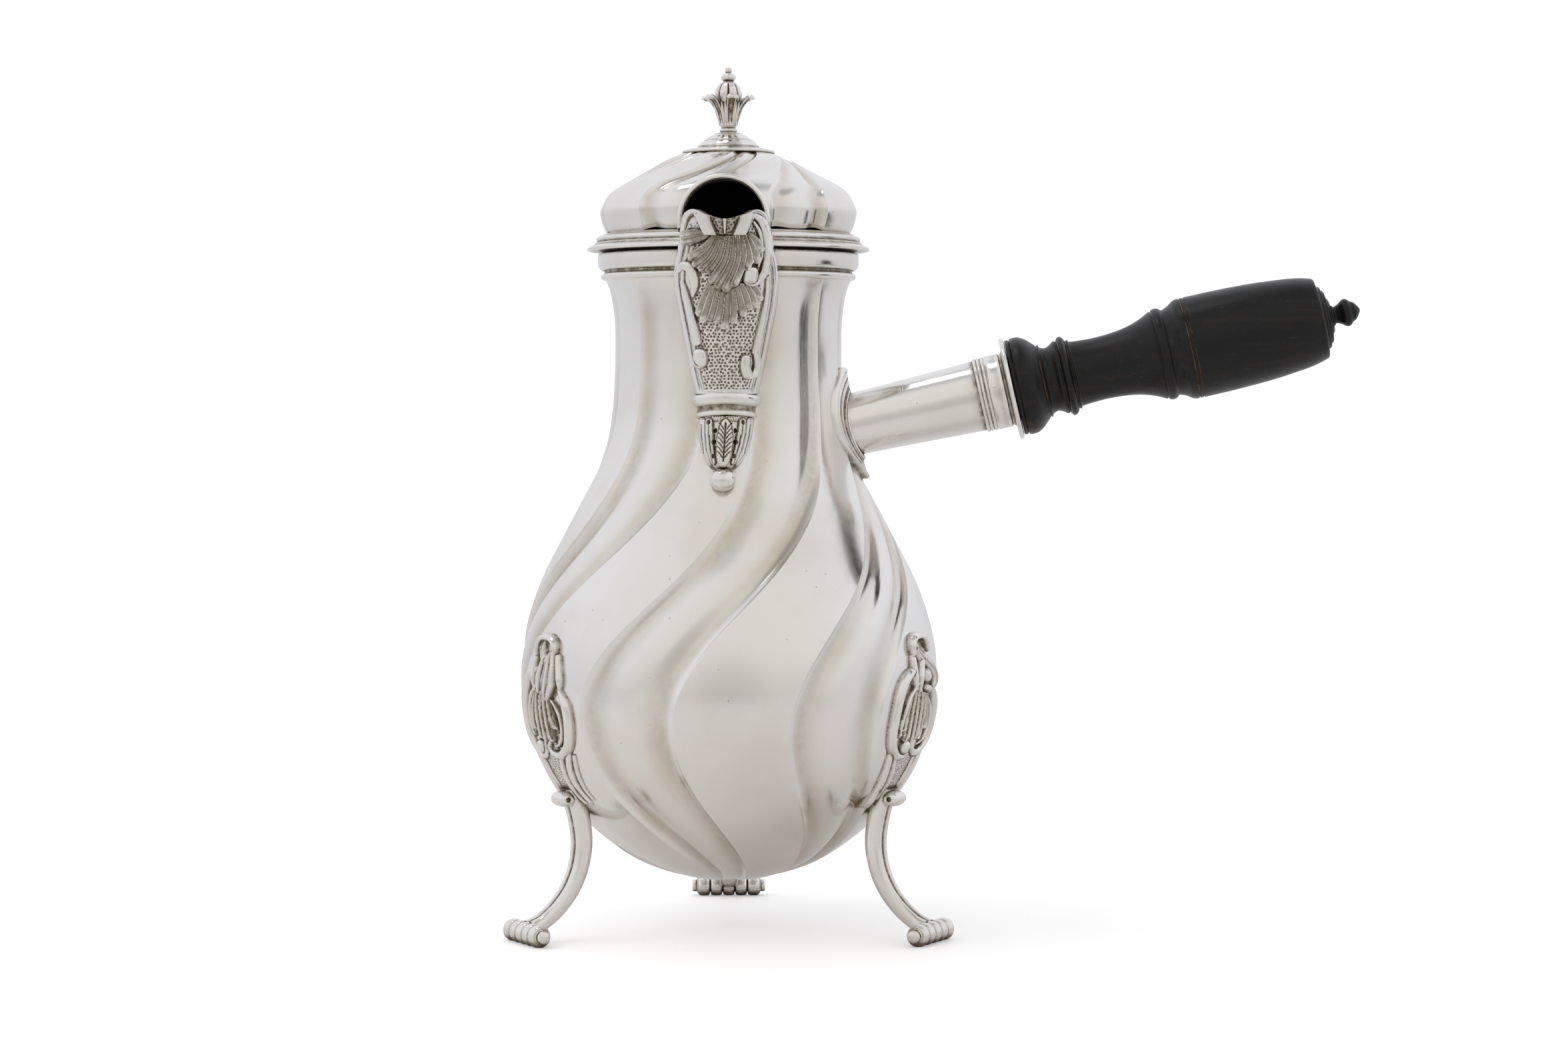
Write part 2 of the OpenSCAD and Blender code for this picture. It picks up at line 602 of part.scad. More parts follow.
plate_bottom_z = 252;
module finial_plate() {
    color(silver) rotate_extrude($fn = smooth) polygon(concat(
        [[stud_r, dome_top_z], [9, dome_top_z - 0.7], [13, plate_bottom_z + 0.5], [14.6, plate_bottom_z]],
        [for (a = [-60:30:60]) [14.7 + 0.5 * cos(a), plate_bottom_z + 0.6 + 0.5 * sin(a)]],
        [[14, plate_bottom_z + 1.3], [10.4, 254.4]],
        curve([[9.9, 254.7], [8.6, 255.9]], 1), [[8.2, 256], [7.9, 256.3], [7.6, 256.4], [7.3, 256.8]],
        curve([[7, 257], [5.6, 258.1], [4, 258.9], [3, 259.3]], 2),
        [[stud_r, 259.3]]));
}
// Six curled leaves round a fluted stem.
calyx_azimuth = 12;
bud_z = 267.6;            // top of the stem, where the bud sits
module leaf() {
    middle = curve([[2.4, 261.6], [4, 264.2], [5.9, 267.4], [8, 269.9], [9.2, 269.7]], 1);
    half = [1.1, 1.5, 1.9, 2, 1.1];
    function face(thick) = [for (i = [0:len(middle) - 1]) [for (s = [-1:0.5:1])
        [half[i] * s, -middle[i][0] + thick * (i < 3 ? 1 : 0) - 0.5 * (1 - s * s) * (i < 4 ? 1 : 0),
         middle[i][1] + thick * (i < 3 ? 0.5 : -1)]]];
    sheet(face(-0.35), face(0.35));
}
module finial_calyx() {
    color(silver) {
        rotate_extrude($fn = 48) polygon(concat(
            [[stud_r, 259.3], [2.4, 259.3]],
            [for (a = [-80:20:80]) [2.1 + 0.75 * cos(a), 260.4 + 0.95 * sin(a)]],
            [[2.4, 261.5], [3.2, 263.5], [4.2, 266], [4.3, bud_z], [stud_r, bud_z]]));
        for (k = [0:5]) rotate([0, 0, calyx_azimuth + 60 * k]) leaf();
    }
}
// The gadrooned bud with its two small knops.
module finial_bud() {
    lobes = 8;
    function ring(r, z, lobed) = [for (k = [0:31]) let (turn = 360 * k / 32)
        at(turn, r - lobed * 0.5 * pow(cos(turn * lobes / 2), 8), z)];
    color(silver) {
        skin([ring(3, bud_z, 0), ring(4.1, 269.2, 0.7), ring(4.5, 271.2, 1), ring(4.1, 273.4, 1),
              ring(3, 275, 0.8), ring(2, 275.7, 0)]);
        rotate_extrude($fn = 48) polygon(concat([[0, 275.6], [2, 275.6]],
            [for (a = [-80:20:80]) [1.4 + cos(a), 276.9 + sin(a)]],
            [[1, 278]], [for (a = [-60:20:80]) [0.25 + cos(a), 279 + sin(a)]], [[0, 280]]));
    }
}
// The threaded stud, and the nut under the dome that holds the finial on.
stud_bottom_z = 247.4;
nut_z = 250.6;
module finial_stud() {
    color(silver) translate([0, 0, stud_bottom_z])
        cylinder(h = bud_z - stud_bottom_z, r = stud_r, $fn = 48);
}
module finial_nut() {
    color(silver) translate([0, 0, nut_z]) difference() {
        cylinder(h = 2.6, r = 4, $fn = 6);
        translate([0, 0, -1]) cylinder(h = 5, r = stud_r, $fn = 48);
    }
}

// ---- nodes ---------------------------------------------------------------------------------

body_shell();
neck_collar();
spout_channel();
spout_band();
spout_calyx();
spout_ball();
spout_scallop();
spout_scroll_left();
spout_scroll_right();
handle_escutcheon();
handle_socket();
socket_disc();
socket_pins();
wood_handle();
handle_button();
front_left_leg();
front_right_leg();
back_leg();
front_left_cartouche();
front_right_cartouche();
back_cartouche();
front_left_toe_roll();
front_right_toe_roll();
back_toe_roll();
hinge_bracket();
hinge_pin();
lid_dome();
lid_rim();
lid_bezel();
lid_visor();
lid_hinge_strap();
finial_plate();
finial_calyx();
finial_bud();
finial_stud();
finial_nut();
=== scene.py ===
import math

import bpy
import numpy as np
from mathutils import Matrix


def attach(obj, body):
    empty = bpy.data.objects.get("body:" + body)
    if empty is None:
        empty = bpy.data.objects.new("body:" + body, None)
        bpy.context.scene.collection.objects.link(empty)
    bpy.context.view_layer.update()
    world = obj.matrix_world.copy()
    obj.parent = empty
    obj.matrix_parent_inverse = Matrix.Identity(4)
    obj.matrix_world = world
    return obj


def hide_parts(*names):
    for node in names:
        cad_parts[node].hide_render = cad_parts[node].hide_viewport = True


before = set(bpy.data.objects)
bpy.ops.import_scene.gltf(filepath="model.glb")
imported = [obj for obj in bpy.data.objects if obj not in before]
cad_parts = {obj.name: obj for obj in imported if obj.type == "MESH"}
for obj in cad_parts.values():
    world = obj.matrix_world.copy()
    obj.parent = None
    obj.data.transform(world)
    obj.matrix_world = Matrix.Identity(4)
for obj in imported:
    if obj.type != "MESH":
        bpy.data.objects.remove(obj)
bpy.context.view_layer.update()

# The looks of the side-handled silver coffee pot. Shapes are worked out in millimetres in the
# model's own frame, and become metres when a mesh is made. An azimuth is measured from the
# spout's side (-Y) towards the handle's side (+X).
MM = 0.001

# ---- curves --------------------------------------------------------------------------------


def curve(points, steps):
    """A Catmull-Rom curve through the points, with so many steps in each span."""
    p = np.array(points, float)
    last = len(p) - 1
    out = []
    for i in range(last):
        a, b, c, d = p[max(i - 1, 0)], p[i], p[i + 1], p[min(i + 2, last)]
        for t in np.arange(steps) / steps:
            out.append(b + 0.5 * t * ((c - a) + t * ((2 * a - 5 * b + 4 * c - d) + t
                * (3 * (b - c) + d - a))))
    out.append(p[last])
    return np.array(out)


def arc(centre, radius, start, end, steps):
    """Points [r, z] along a circular arc between two angles in degrees."""
    turn = np.radians(np.linspace(start, end, steps))
    return [[centre[0] + radius * math.cos(t), centre[1] + radius * math.sin(t)] for t in turn]


def smoothstep(low, high, value):
    t = np.clip((np.asarray(value, float) - low) / (high - low), 0, 1)
    return t * t * (3 - 2 * t)


def ease(value):
    return (1 - np.cos(np.pi * np.clip(value, 0, 1))) / 2


def at(azimuth, r, z):
    """Points at azimuths in degrees, radii and heights."""
    turn = np.radians(azimuth)
    turn, r, z = np.broadcast_arrays(turn, r, z)
    return np.stack([r * np.sin(turn), -r * np.cos(turn), z], axis=-1)


def turn_z(points, degrees):
    c, s = math.cos(math.radians(degrees)), math.sin(math.radians(degrees))
    return points @ np.array([[c, s, 0], [-s, c, 0], [0, 0, 1]])


def unit(v):
    return v / np.maximum(np.linalg.norm(v, axis=-1, keepdims=True), 1e-9)


# ---- meshes --------------------------------------------------------------------------------


def grid_faces(rows, cols, wrap_cols=False, wrap_rows=False, flip=False):
    r, c = np.meshgrid(np.arange(rows if wrap_rows else rows - 1),
        np.arange(cols if wrap_cols else cols - 1), indexing="ij")
    r2, c2 = (r + 1) % rows, (c + 1) % cols
    quads = np.stack([r * cols + c, r * cols + c2, r2 * cols + c2, r2 * cols + c], axis=-1).reshape(-1, 4)
    return (quads[:, ::-1] if flip else quads).tolist()


class Shape:
    """Points in millimetres and faces, gathered for one piece."""

    def __init__(self):
        self.points, self.faces, self.marks, self.count = [], [], [], 0

    def add(self, points, faces, mark=0.0):
        points = np.asarray(points, float).reshape(-1, 3)
        # A closed shape with a negative volume is inside out, and its faces are turned round.
        fans = np.array([(f[0], f[k], f[k + 1]) for f in faces for k in range(1, len(f) - 1)])
        a, b, c = points[fans[:, 0]], points[fans[:, 1]], points[fans[:, 2]]
        if np.einsum("ij,ij->i", a, np.cross(b, c)).sum() < 0:
            faces = [face[::-1] for face in faces]
        self.faces += [[i + self.count for i in face] for face in faces]
        self.points.append(points)
        self.marks.append(np.broadcast_to(np.ravel(mark), len(points)))
        self.count += len(points)
        return self

    def join(self, other):
        return self.add(other.points[0], other.faces)

    def rings(self, rings, loop=False, mark=0.0):
        """Closed rings of points, capped at both ends or joined as a loop."""
        rings = np.asarray(rings, float)
        m, n = rings.shape[:2]
        faces = grid_faces(m, n, wrap_cols=True, wrap_rows=loop)
        if not loop:
            faces += [list(range(n))[::-1], [(m - 1) * n + k for k in range(n)]]
        return self.add(rings, faces, mark)

    def sheet(self, outer, inner, mark=0.0, back_mark=None):
        """A closed sheet between an outer and an inner grid of points."""
        outer, inner = np.asarray(outer, float), np.asarray(inner, float)
        m, n = outer.shape[:2]
        back = m * n
        edge = ([(0, c) for c in range(n)] + [(r, n - 1) for r in range(1, m)]
            + [(m - 1, c) for c in range(n - 2, -1, -1)] + [(r, 0) for r in range(m - 2, 0, -1)])
        edge = [r * n + c for r, c in edge]
        faces = grid_faces(m, n) + [[i + back for i in f] for f in grid_faces(m, n, flip=True)]
        faces += [[a, a + back, b + back, b] for a, b in zip(edge, edge[1:] + edge[:1])]
        marks = [np.broadcast_to(value, (m, n))
            for value in (mark, mark if back_mark is None else back_mark)]
        return self.add(np.concatenate([outer, inner]), faces, marks)

    def blob(self, centre, axes, mark=0.0, rows=14, cols=24):
        """A small ellipsoid with its half axes given as three vectors."""
        lat = np.radians(np.linspace(-88, 88, rows))[:, None]
        lon = np.linspace(0, 2 * np.pi, cols, endpoint=False)[None, :]
        local = np.stack([np.cos(lat) * np.cos(lon), np.cos(lat) * np.sin(lon), np.sin(lat) + 0 * lon],
            axis=-1)
        return self.rings(np.asarray(centre) + local @ np.asarray(axes, float), mark=mark)


def lathe(profile, n, mark=0.0, loop=True, place=None, wobble=0.0):
    """A turned shape from a closed outline of [r, z] points that runs upwards on its outside."""
    p = np.array(profile, float)
    turn = np.linspace(0, 2 * np.pi, n, endpoint=False)
    r = p[:, :1] + wobble * (np.sin(2 * turn + p[:, 1:] * 0.11) + 0.6
        * np.sin(5 * turn - p[:, 1:] * 0.07))
    r = np.where(p[:, :1] < 0.02, p[:, :1], r)
    rings = np.stack([r * np.cos(turn), r * np.sin(turn), p[:, 1:] + 0 * turn], axis=-1)
    if place is not None:
        rings = place(rings)
    return Shape().rings(rings, loop=loop, mark=np.repeat(mark, n) if np.ndim(mark) else mark)


def new_object(name, data):
    obj = bpy.data.objects.new(name, data)
    bpy.context.scene.collection.objects.link(obj)
    return obj


def new_mesh(name, shape):
    mesh = bpy.data.meshes.new(name)
    mesh.from_pydata((np.concatenate(shape.points) * MM).tolist(), [], shape.faces)
    return mesh


def shade(mesh, sharp):
    """Smooth shading, with edges sharper than an angle in degrees left as they are."""
    mesh.shade_smooth()
    mesh.set_sharp_from_angle(angle=math.radians(sharp))


def cavities(mesh, steps):
    """How far each vertex lies below its smoothed surroundings, in metres."""
    count = len(mesh.vertices)
    co, normal = np.empty((2, count * 3))
    mesh.vertices.foreach_get("co", co)
    mesh.vertex_normals.foreach_get("vector", normal)
    co, normal = co.reshape(-1, 3), normal.reshape(-1, 3)
    ends = np.empty(len(mesh.edges) * 2, dtype=np.int64)
    mesh.edges.foreach_get("vertices", ends)
    a, b = ends.reshape(-1, 2).T
    degree = np.maximum(np.bincount(a, minlength=count) + np.bincount(b, minlength=count), 1)
    smooth = co.copy()
    for _ in range(steps):
        total = [np.bincount(a, smooth[b, k], count) + np.bincount(b, smooth[a, k], count)
            for k in range(3)]
        smooth = 0.3 * smooth + 0.7 * np.transpose(total) / degree[:, None]
    return ((smooth - co) * normal).sum(axis=1)


def piece(name, shape, material, node, cavity, sharp=55, body="pot"):
    """Makes a piece of the object from a shape, in place of one of the frame's nodes.

    The cavity is (rounds of smoothing, depth in millimetres that counts as quite hollow).
    """
    mesh = new_mesh(name, shape)
    mesh.validate()
    shade(mesh, sharp)
    depth = np.clip(cavities(mesh, cavity[0]) / (cavity[1] * MM), 0, 1)
    for layer, values in (("patina", depth), ("mark", np.concatenate(shape.marks))):
        data = mesh.attributes.new(layer, "FLOAT", "POINT").data
        data.foreach_set("value", np.ascontiguousarray(values, dtype=np.float32))
    mesh.materials.append(material)
    obj = new_object(name, mesh)
    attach(obj, body)
    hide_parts(node)
    return obj


class Relief:
    """Heights over a grid of places [sideways, height] on a surface, drawn with strokes."""

    def __init__(self, x, z, ground):
        self.x, self.z = np.broadcast_arrays(x, z)
        self.h = np.zeros(self.x.shape) + ground
        self.mark = np.zeros(self.x.shape)
        self.low, self.high = self.z.min(axis=1), self.z.max(axis=1)

    def reach(self, path, width, steps=5):
        """How near each place is to a path, in the path's half widths, and how far along it."""
        line = curve(path, steps)
        count = len(line)
        width = np.interp(np.linspace(0, 1, count), np.linspace(0, 1, len(width)), width)
        near, along = np.full(self.x.shape, 9.0), np.zeros(self.x.shape)
        for i in range(count - 1):
            a, b, w = line[i], line[i + 1], 2 * max(width[i], width[i + 1])
            rows = np.flatnonzero((self.low < max(a[1], b[1]) + w) & (self.high > min(a[1], b[1]) - w))
            if len(rows) == 0:
                continue
            part = slice(rows[0], rows[-1] + 1)
            dx, dz, (ex, ez) = self.x[part] - a[0], self.z[part] - a[1], b - a
            t = np.clip((dx * ex + dz * ez) / max(ex * ex + ez * ez, 1e-9), 0, 1)
            d = np.hypot(dx - t * ex, dz - t * ez) / (width[i] + (width[i + 1] - width[i]) * t)
            closer = d < near[part]
            near[part] = np.where(closer, d, near[part])
            along[part] = np.where(closer, (i + t) / (count - 1), along[part])
        return near, along

    def stroke(self, path, width, height, power=0.5, groove=0.0, stripes=0.0):
        """A raised moulding along a path, rounded in section, with a groove or stripes along it."""
        near, along = self.reach(path, width)
        height = np.interp(along, np.linspace(0, 1, len(height)), height)
        top = height * (1 - np.clip(near, 0, 1) ** 2) ** power * (1 - groove * np.exp(-(near / 0.28) ** 2))
        top = top + stripes * np.cos(near * 9.5) * (near < 0.95)
        over = (near < 1) & (top > self.h)
        self.h = np.where(over, top, self.h)
        self.mark = np.where(over, 0.62 * smoothstep(0.80, 0.98, near) + 2 * stripes
            * (1 - np.cos(near * 9.5)), self.mark)

    def carve(self, path, width, depth):
        near = self.reach(path, width)[0]
        bowl = 1 - np.clip(near, 0, 1) ** 2
        self.h = self.h - depth * bowl
        self.mark = np.maximum(self.mark, bowl * min(2.2 * depth, 1.0))

    def flutes(self, paths, width, height, dip=0.3, ridge=0.25):
        """Hollow flutes side by side like a shell's, with a sharp ridge where two meet."""
        first, second = np.full(self.x.shape, 9.0), np.full(self.x.shape, 9.0)
        far = np.zeros(self.x.shape)
        for path in paths:
            near, along = self.reach(path, width)
            closer = near < first
            second = np.where(closer, first, np.minimum(second, near))
            far = np.where(closer, along, far)
            first = np.minimum(first, near)
        height = np.interp(far, np.linspace(0, 1, len(height)), height)
        crest = ridge * np.exp(-((second - first) / 0.40) ** 2) * (first > 0.25)
        top = height * (1 - dip * (1 - np.clip(first, 0, 1) ** 2)) + crest
        top = top - height * smoothstep(0.90, 1.0, first) * 0.8
        over = (first < 1) & (top > self.h)
        brown = 0.72 * smoothstep(0.90, 0.45, first) * (1 - crest / max(ridge, 0.01))
        self.h = np.where(over, top, self.h)
        self.mark = np.where(over, brown * smoothstep(1.0, 0.7, far) + 0.05, self.mark)


def stipple(x, z, pitch=1.02, size=0.34):
    """Punched dots in loose rows: one in the middle of a dot, nought between dots."""
    shift = np.random.default_rng(7).uniform(-0.24, 0.24, (64, 64, 2))
    row = pitch * 0.87
    near = np.full(np.broadcast(x, z).shape, 9.0)
    for up in (-1, 0, 1):
        j = np.floor(z / row).astype(int) + up
        for along in (-1, 0, 1):
            i = np.floor(x / pitch - 0.5 * (j % 2)).astype(int) + along
            move = shift[i % 64, j % 64]
            cx, cz = (i + 0.5 * (j % 2) + 0.5 + move[..., 0]) * pitch, (j + 0.5 + move[..., 1]) * row
            near = np.minimum(near, np.hypot(x - cx, z - cz))
    return 1 - smoothstep(size * 0.55, size * 1.15, near)


# ---- materials -----------------------------------------------------------------------------


class Nodes:
    """A short way to write a node tree."""

    def __init__(self, owner):
        self.owner = owner
        owner.use_nodes = True
        self.tree = owner.node_tree

    def new(self, kind, inputs=None, **settings):
        node = self.tree.nodes.new("ShaderNode" + kind)
        for key, value in settings.items():
            setattr(node, key, value)
        for key, value in (inputs or {}).items():
            self.set(node.inputs[key], value)
        return node

    def set(self, socket, value):
        if isinstance(value, bpy.types.NodeSocket):
            self.tree.links.new(value, socket)
        else:
            socket.default_value = value

    def math(self, operation, a, b, clamp=False):
        return self.new("Math", {0: a, 1: b}, operation=operation, use_clamp=clamp).outputs[0]

    def plus(self, a, b):
        return self.math("ADD", a, b)

    def times(self, a, b, clamp=False):
        return self.math("MULTIPLY", a, b, clamp)

    def mix(self, factor, a, b, kind="RGBA"):
        first, out = {"FLOAT": (2, 0), "RGBA": (6, 2)}[kind]
        return self.new("Mix", {0: factor, first: a, first + 1: b}, data_type=kind).outputs[out]

    def coords(self, scale=(1, 1, 1), rotation=(0, 0, 0)):
        source = self.new("TexCoord").outputs["Object"]
        return self.new("Mapping", {"Vector": source, "Scale": scale, "Rotation": rotation}).outputs[0]

    def noise(self, vector, scale, detail=3.0, roughness=0.5):
        inputs = {"Vector": vector, "Scale": scale, "Detail": detail, "Roughness": roughness}
        return self.new("TexNoise", inputs).outputs["Fac"]

    def ramp(self, value, low, high, a=0.0, b=1.0, kind="LINEAR"):
        inputs = {"Value": value, "From Min": low, "From Max": high, "To Min": a, "To Max": b}
        return self.new("MapRange", inputs, clamp=True, interpolation_type=kind).outputs[0]

    def attribute(self, name):
        return self.new("Attribute", attribute_name=name).outputs["Fac"]

    def surface(self, height=None, bump=(0.0, 0.0), **inputs):
        """Sets the material's shader, with a bump of (strength, distance) from a height."""
        shader = self.tree.nodes["Principled BSDF"]
        for key, value in inputs.items():
            self.set(shader.inputs[key.replace("_", " ")], value)
        if height:
            raised_by = {"Strength": bump[0], "Distance": bump[1], "Height": height}
            self.set(shader.inputs["Normal"], self.new("Bump", raised_by).outputs[0])
        return shader


# The brown is bloom in patches, and painted shade along the coves of raised work.
CLEAN_SILVER, BLOOM_AND_SHADE_BROWN = (0.895, 0.882, 0.862, 1), (0.60, 0.525, 0.425, 1)
DARK_DIRT, PALE_DIRT = (0.125, 0.095, 0.060, 1), (0.33, 0.275, 0.20, 1)
# The inside's black-brown is painted shade, with some tarnish.
DARK_INSIDE_SHADE, PALE_INSIDE_SHADE = (0.060, 0.040, 0.026, 1), (0.150, 0.100, 0.062, 1)
BLACK, STREAK, WORN = (0.0062, 0.0066, 0.0074, 1), (0.020, 0.0155, 0.0125, 1), (0.05, 0.045, 0.042, 1)
TAN, NICK = (0.26, 0.18, 0.09, 1), (0.16, 0.14, 0.12, 1)


def silver(name, rough, tarnish, scratches=0.5, cast=0.0, marked=True, cove_shade_tint=0.0, warm=0.0):
    """Old polished silver: bright where it is worn, with warm brown tarnish where polish can't reach, and
    brown painted shade along the coves of raised work.
    """
    n = Nodes(bpy.data.materials.new(name))
    here = n.coords()
    broad = n.noise(here, 26, 4.0)
    fine = n.noise(here, 420)
    grain = n.noise(here, 1500, 2.0)
    shut = n.new("AmbientOcclusion", {"Distance": 0.004}, samples=8).outputs["AO"]
    hollow = n.ramp(shut, 0.25, 0.80, 1.0, 0.0)
    if marked:
        mark = n.attribute("mark")
        hollow = n.math("MAXIMUM", n.attribute("patina"), n.times(hollow, 0.9))
    dirt = n.times(n.times(hollow, n.ramp(fine, 0.3, 0.62, 0.55, 1.15)), tarnish, clamp=True)
    # A thin brown bloom lies in patches; the brown along the coves of raised work is painted shade.
    bloom_and_cove_shade = n.plus(n.times(n.ramp(broad, 0.46, 0.70), 0.25), warm)
    if cove_shade_tint:
        bloom_and_cove_shade = n.plus(bloom_and_cove_shade, n.times(n.times(mark, cove_shade_tint), n.ramp(broad, 0.30, 0.62, 0.35, 1.0)))
    clean = n.mix(bloom_and_cove_shade, CLEAN_SILVER, BLOOM_AND_SHADE_BROWN)
    specks = n.new("TexVoronoi", {"Vector": here, "Scale": 330.0, "Randomness": 1.0})
    pick = n.new("SeparateColor", {"Color": specks.outputs["Color"]}).outputs[0]
    pit = n.times(n.ramp(specks.outputs["Distance"], 0.05, 0.11, 1.0, 0.0), n.ramp(pick, 0.93, 0.95))
    dirt = n.math("MAXIMUM", dirt, n.times(pit, 0.55))
    height = n.plus(n.times(fine, 0.25 + cast), n.times(grain, 0.10 + cast))
    if marked and not cove_shade_tint:
        dirt = n.math("MAXIMUM", dirt, n.times(mark, 0.95), clamp=True)
    colour = n.mix(dirt, clean, n.mix(n.ramp(grain, 0.35, 0.65), DARK_DIRT, PALE_DIRT))
    for stretch, rotation in (((40, 2600, 40), (0.3, 0.2, 0.5)), ((2200, 60, 60), (0.1, 0.9, 0.2))):
        line = n.noise(n.coords(stretch, rotation), 1.0, 2.0)
        height = n.plus(height, n.times(n.ramp(line, 0.60, 0.72), scratches))
    level = n.plus(n.ramp(broad, 0.3, 0.7, rough * 0.75, rough * 1.3), n.times(dirt, 0.30))
    if marked:
        # Marks of two and more are the inside of the pot, painted black-brown as shade with some tarnish.
        inside = n.ramp(mark, 1.4, 1.9)
        colour = n.mix(inside, colour, n.mix(broad, DARK_INSIDE_SHADE, PALE_INSIDE_SHADE))
        level = n.plus(level, n.times(inside, 0.38))
    level = n.plus(level, n.ramp(fine, 0.35, 0.65, 0.0, 0.03))
    n.surface(height, (0.35, 0.00003), Base_Color=colour, Roughness=level, Metallic=1.0)
    return n.owner


def black_wood(name, along):
    """Ebonised hardwood, turned and waxed: near black, with faint brown streaks along the grain."""
    n = Nodes(bpy.data.materials.new(name))
    # The mapping turns the handle's axis onto X, so that streaks are long in X.
    streaks = n.noise(n.coords((16, 420, 420), along), 1.0, 4.0, 0.6)
    pores = n.noise(n.coords((90, 2600, 2600), along), 1.0, 2.0)
    nicks = n.noise(n.coords((60, 2400, 2400), along), 1.0, 1.0)
    fine = n.noise(n.coords(), 260, 4.0)
    colour = n.mix(n.ramp(streaks, 0.52, 0.8), BLACK, STREAK)
    colour = n.mix(n.times(n.ramp(fine, 0.62, 0.8), 0.35), colour, WORN)
    colour = n.mix(n.times(n.attribute("mark"), n.ramp(fine, 0.38, 0.56, 0.15, 1.0)), colour, TAN)
    colour = n.mix(n.times(n.ramp(nicks, 0.73, 0.80), 0.22), colour, NICK)
    height = n.plus(n.times(pores, 0.6), n.times(streaks, 0.8))
    shader = n.surface(height, (0.30, 0.00006), Base_Color=colour,
        Roughness=n.ramp(fine, 0.3, 0.7, 0.26, 0.38))
    shader.inputs["Specular IOR Level"].default_value = 0.28
    return n.owner


HANDLE_TURN, HANDLE_RISE, HANDLE_Z = -5.0, 12.8, 155.0

# The raised silver paints brown shade along the coves of its flutes.
raised = silver("raised_silver", 0.15, 0.30, scratches=0.55, cove_shade_tint=0.50, warm=0.05)
cast = silver("cast_silver", 0.15, 1.5, cast=0.25, warm=0.10)
stippled = silver("stippled_silver", 0.16, 1.45, cast=0.15, warm=0.08)
turned = silver("turned_silver", 0.12, 0.9, scratches=0.8, warm=0.05)
fitting = silver("silver_fittings", 0.20, 1.0, cast=0.2, marked=False)
wood = black_wood("blackened_wood", (0, math.radians(HANDLE_RISE), math.radians(-HANDLE_TURN)))

# ---- body ----------------------------------------------------------------------------------

BODY_OUTLINE = curve([[0.4, 16], [14, 17.2], [28, 21.8], [40, 29.5], [50.4, 38.5], [57.2, 46.5],
    [63, 56.5], [66.8, 68.5], [68.4, 82], [66.5, 96.5], [61, 113], [52, 131], [43, 150], [38.9, 163.5],
    [37.3, 180], [37.2, 196], [38.4, 206.5], [40, 211]], 13)
SHEET = 0.8
FLUTES, PITCH = 6, 60
NECK_R, COLLAR_R, RIM_R = 37.2, 40, 46.4
NECK_TOP, COLLAR_TOP = 211, 219.6
BAND_STEPS = [0, 0.006, 0.018, 0.034, 0.055, 0.08, 0.105, 0.13, 0.155, 0.18, 0.205, 0.235, 0.265, 0.30,
    0.34, 0.39, 0.44]
BAND_STEPS = BAND_STEPS + [0.5] + [1 - v for v in BAND_STEPS[:0:-1]]
PANEL_STEPS = [0, 0.012, 0.04, 0.09, 0.16, 0.24, 0.33, 0.42, 0.5, 0.58, 0.67, 0.76, 0.84, 0.91, 0.96,
    0.988]
# The section of half a band: a cove inside the crest, then a broad rounded lobe.
COVE_LINE = curve([[0, 0], [0.022, 0.30], [0.06, 0.66], [0.11, 0.93], [0.17, 1], [0.24, 0.86],
    [0.31, 0.62], [0.38, 0.44], [0.44, 0.37], [0.5, 0.35]], 6)


def body_r(z):
    return np.interp(z, BODY_OUTLINE[:, 1], BODY_OUTLINE[:, 0])


def body_turn(z):
    return 50 - 65 * ease((172 - z) / 102) + 33 * np.clip((70 - z) / 54, 0, 1) ** 2


def body_band(z):
    return 28.6 + 10.4 * smoothstep(110, 172, z)


def dome_turn(z):
    return 48.5 + 48 * np.clip((z - 236) / 16, 0, 1.2) ** 1.9


def band_relief(v):
    """Depth of a band's section between its two crests."""
    side = np.minimum(v, 1 - v)
    return np.interp(side, COVE_LINE[:, 0], COVE_LINE[:, 1])


def body_depth(z):
    """Depth of the coves below the body's plain outline."""
    depth = (0.9 + 1.1 * smoothstep(185, 125, z)) * smoothstep(2, 30, body_r(z))
    return depth * (0.35 + 0.65 * smoothstep(212, 198, z))


def body_hollow(azimuth, z):
    """How far in from the plain outline the fluted sheet lies, level with each place."""
    share = body_band(z)
    off = np.mod(body_turn(z) - azimuth, PITCH)
    sunk = body_depth(z) * np.where(off < share, band_relief(np.clip(off / share, 0, 1)), 0.0)
    slope = body_r(z + 0.5) - body_r(z - 0.5)
    return sunk * np.hypot(1, slope)


PANEL_SWELL = 0.12


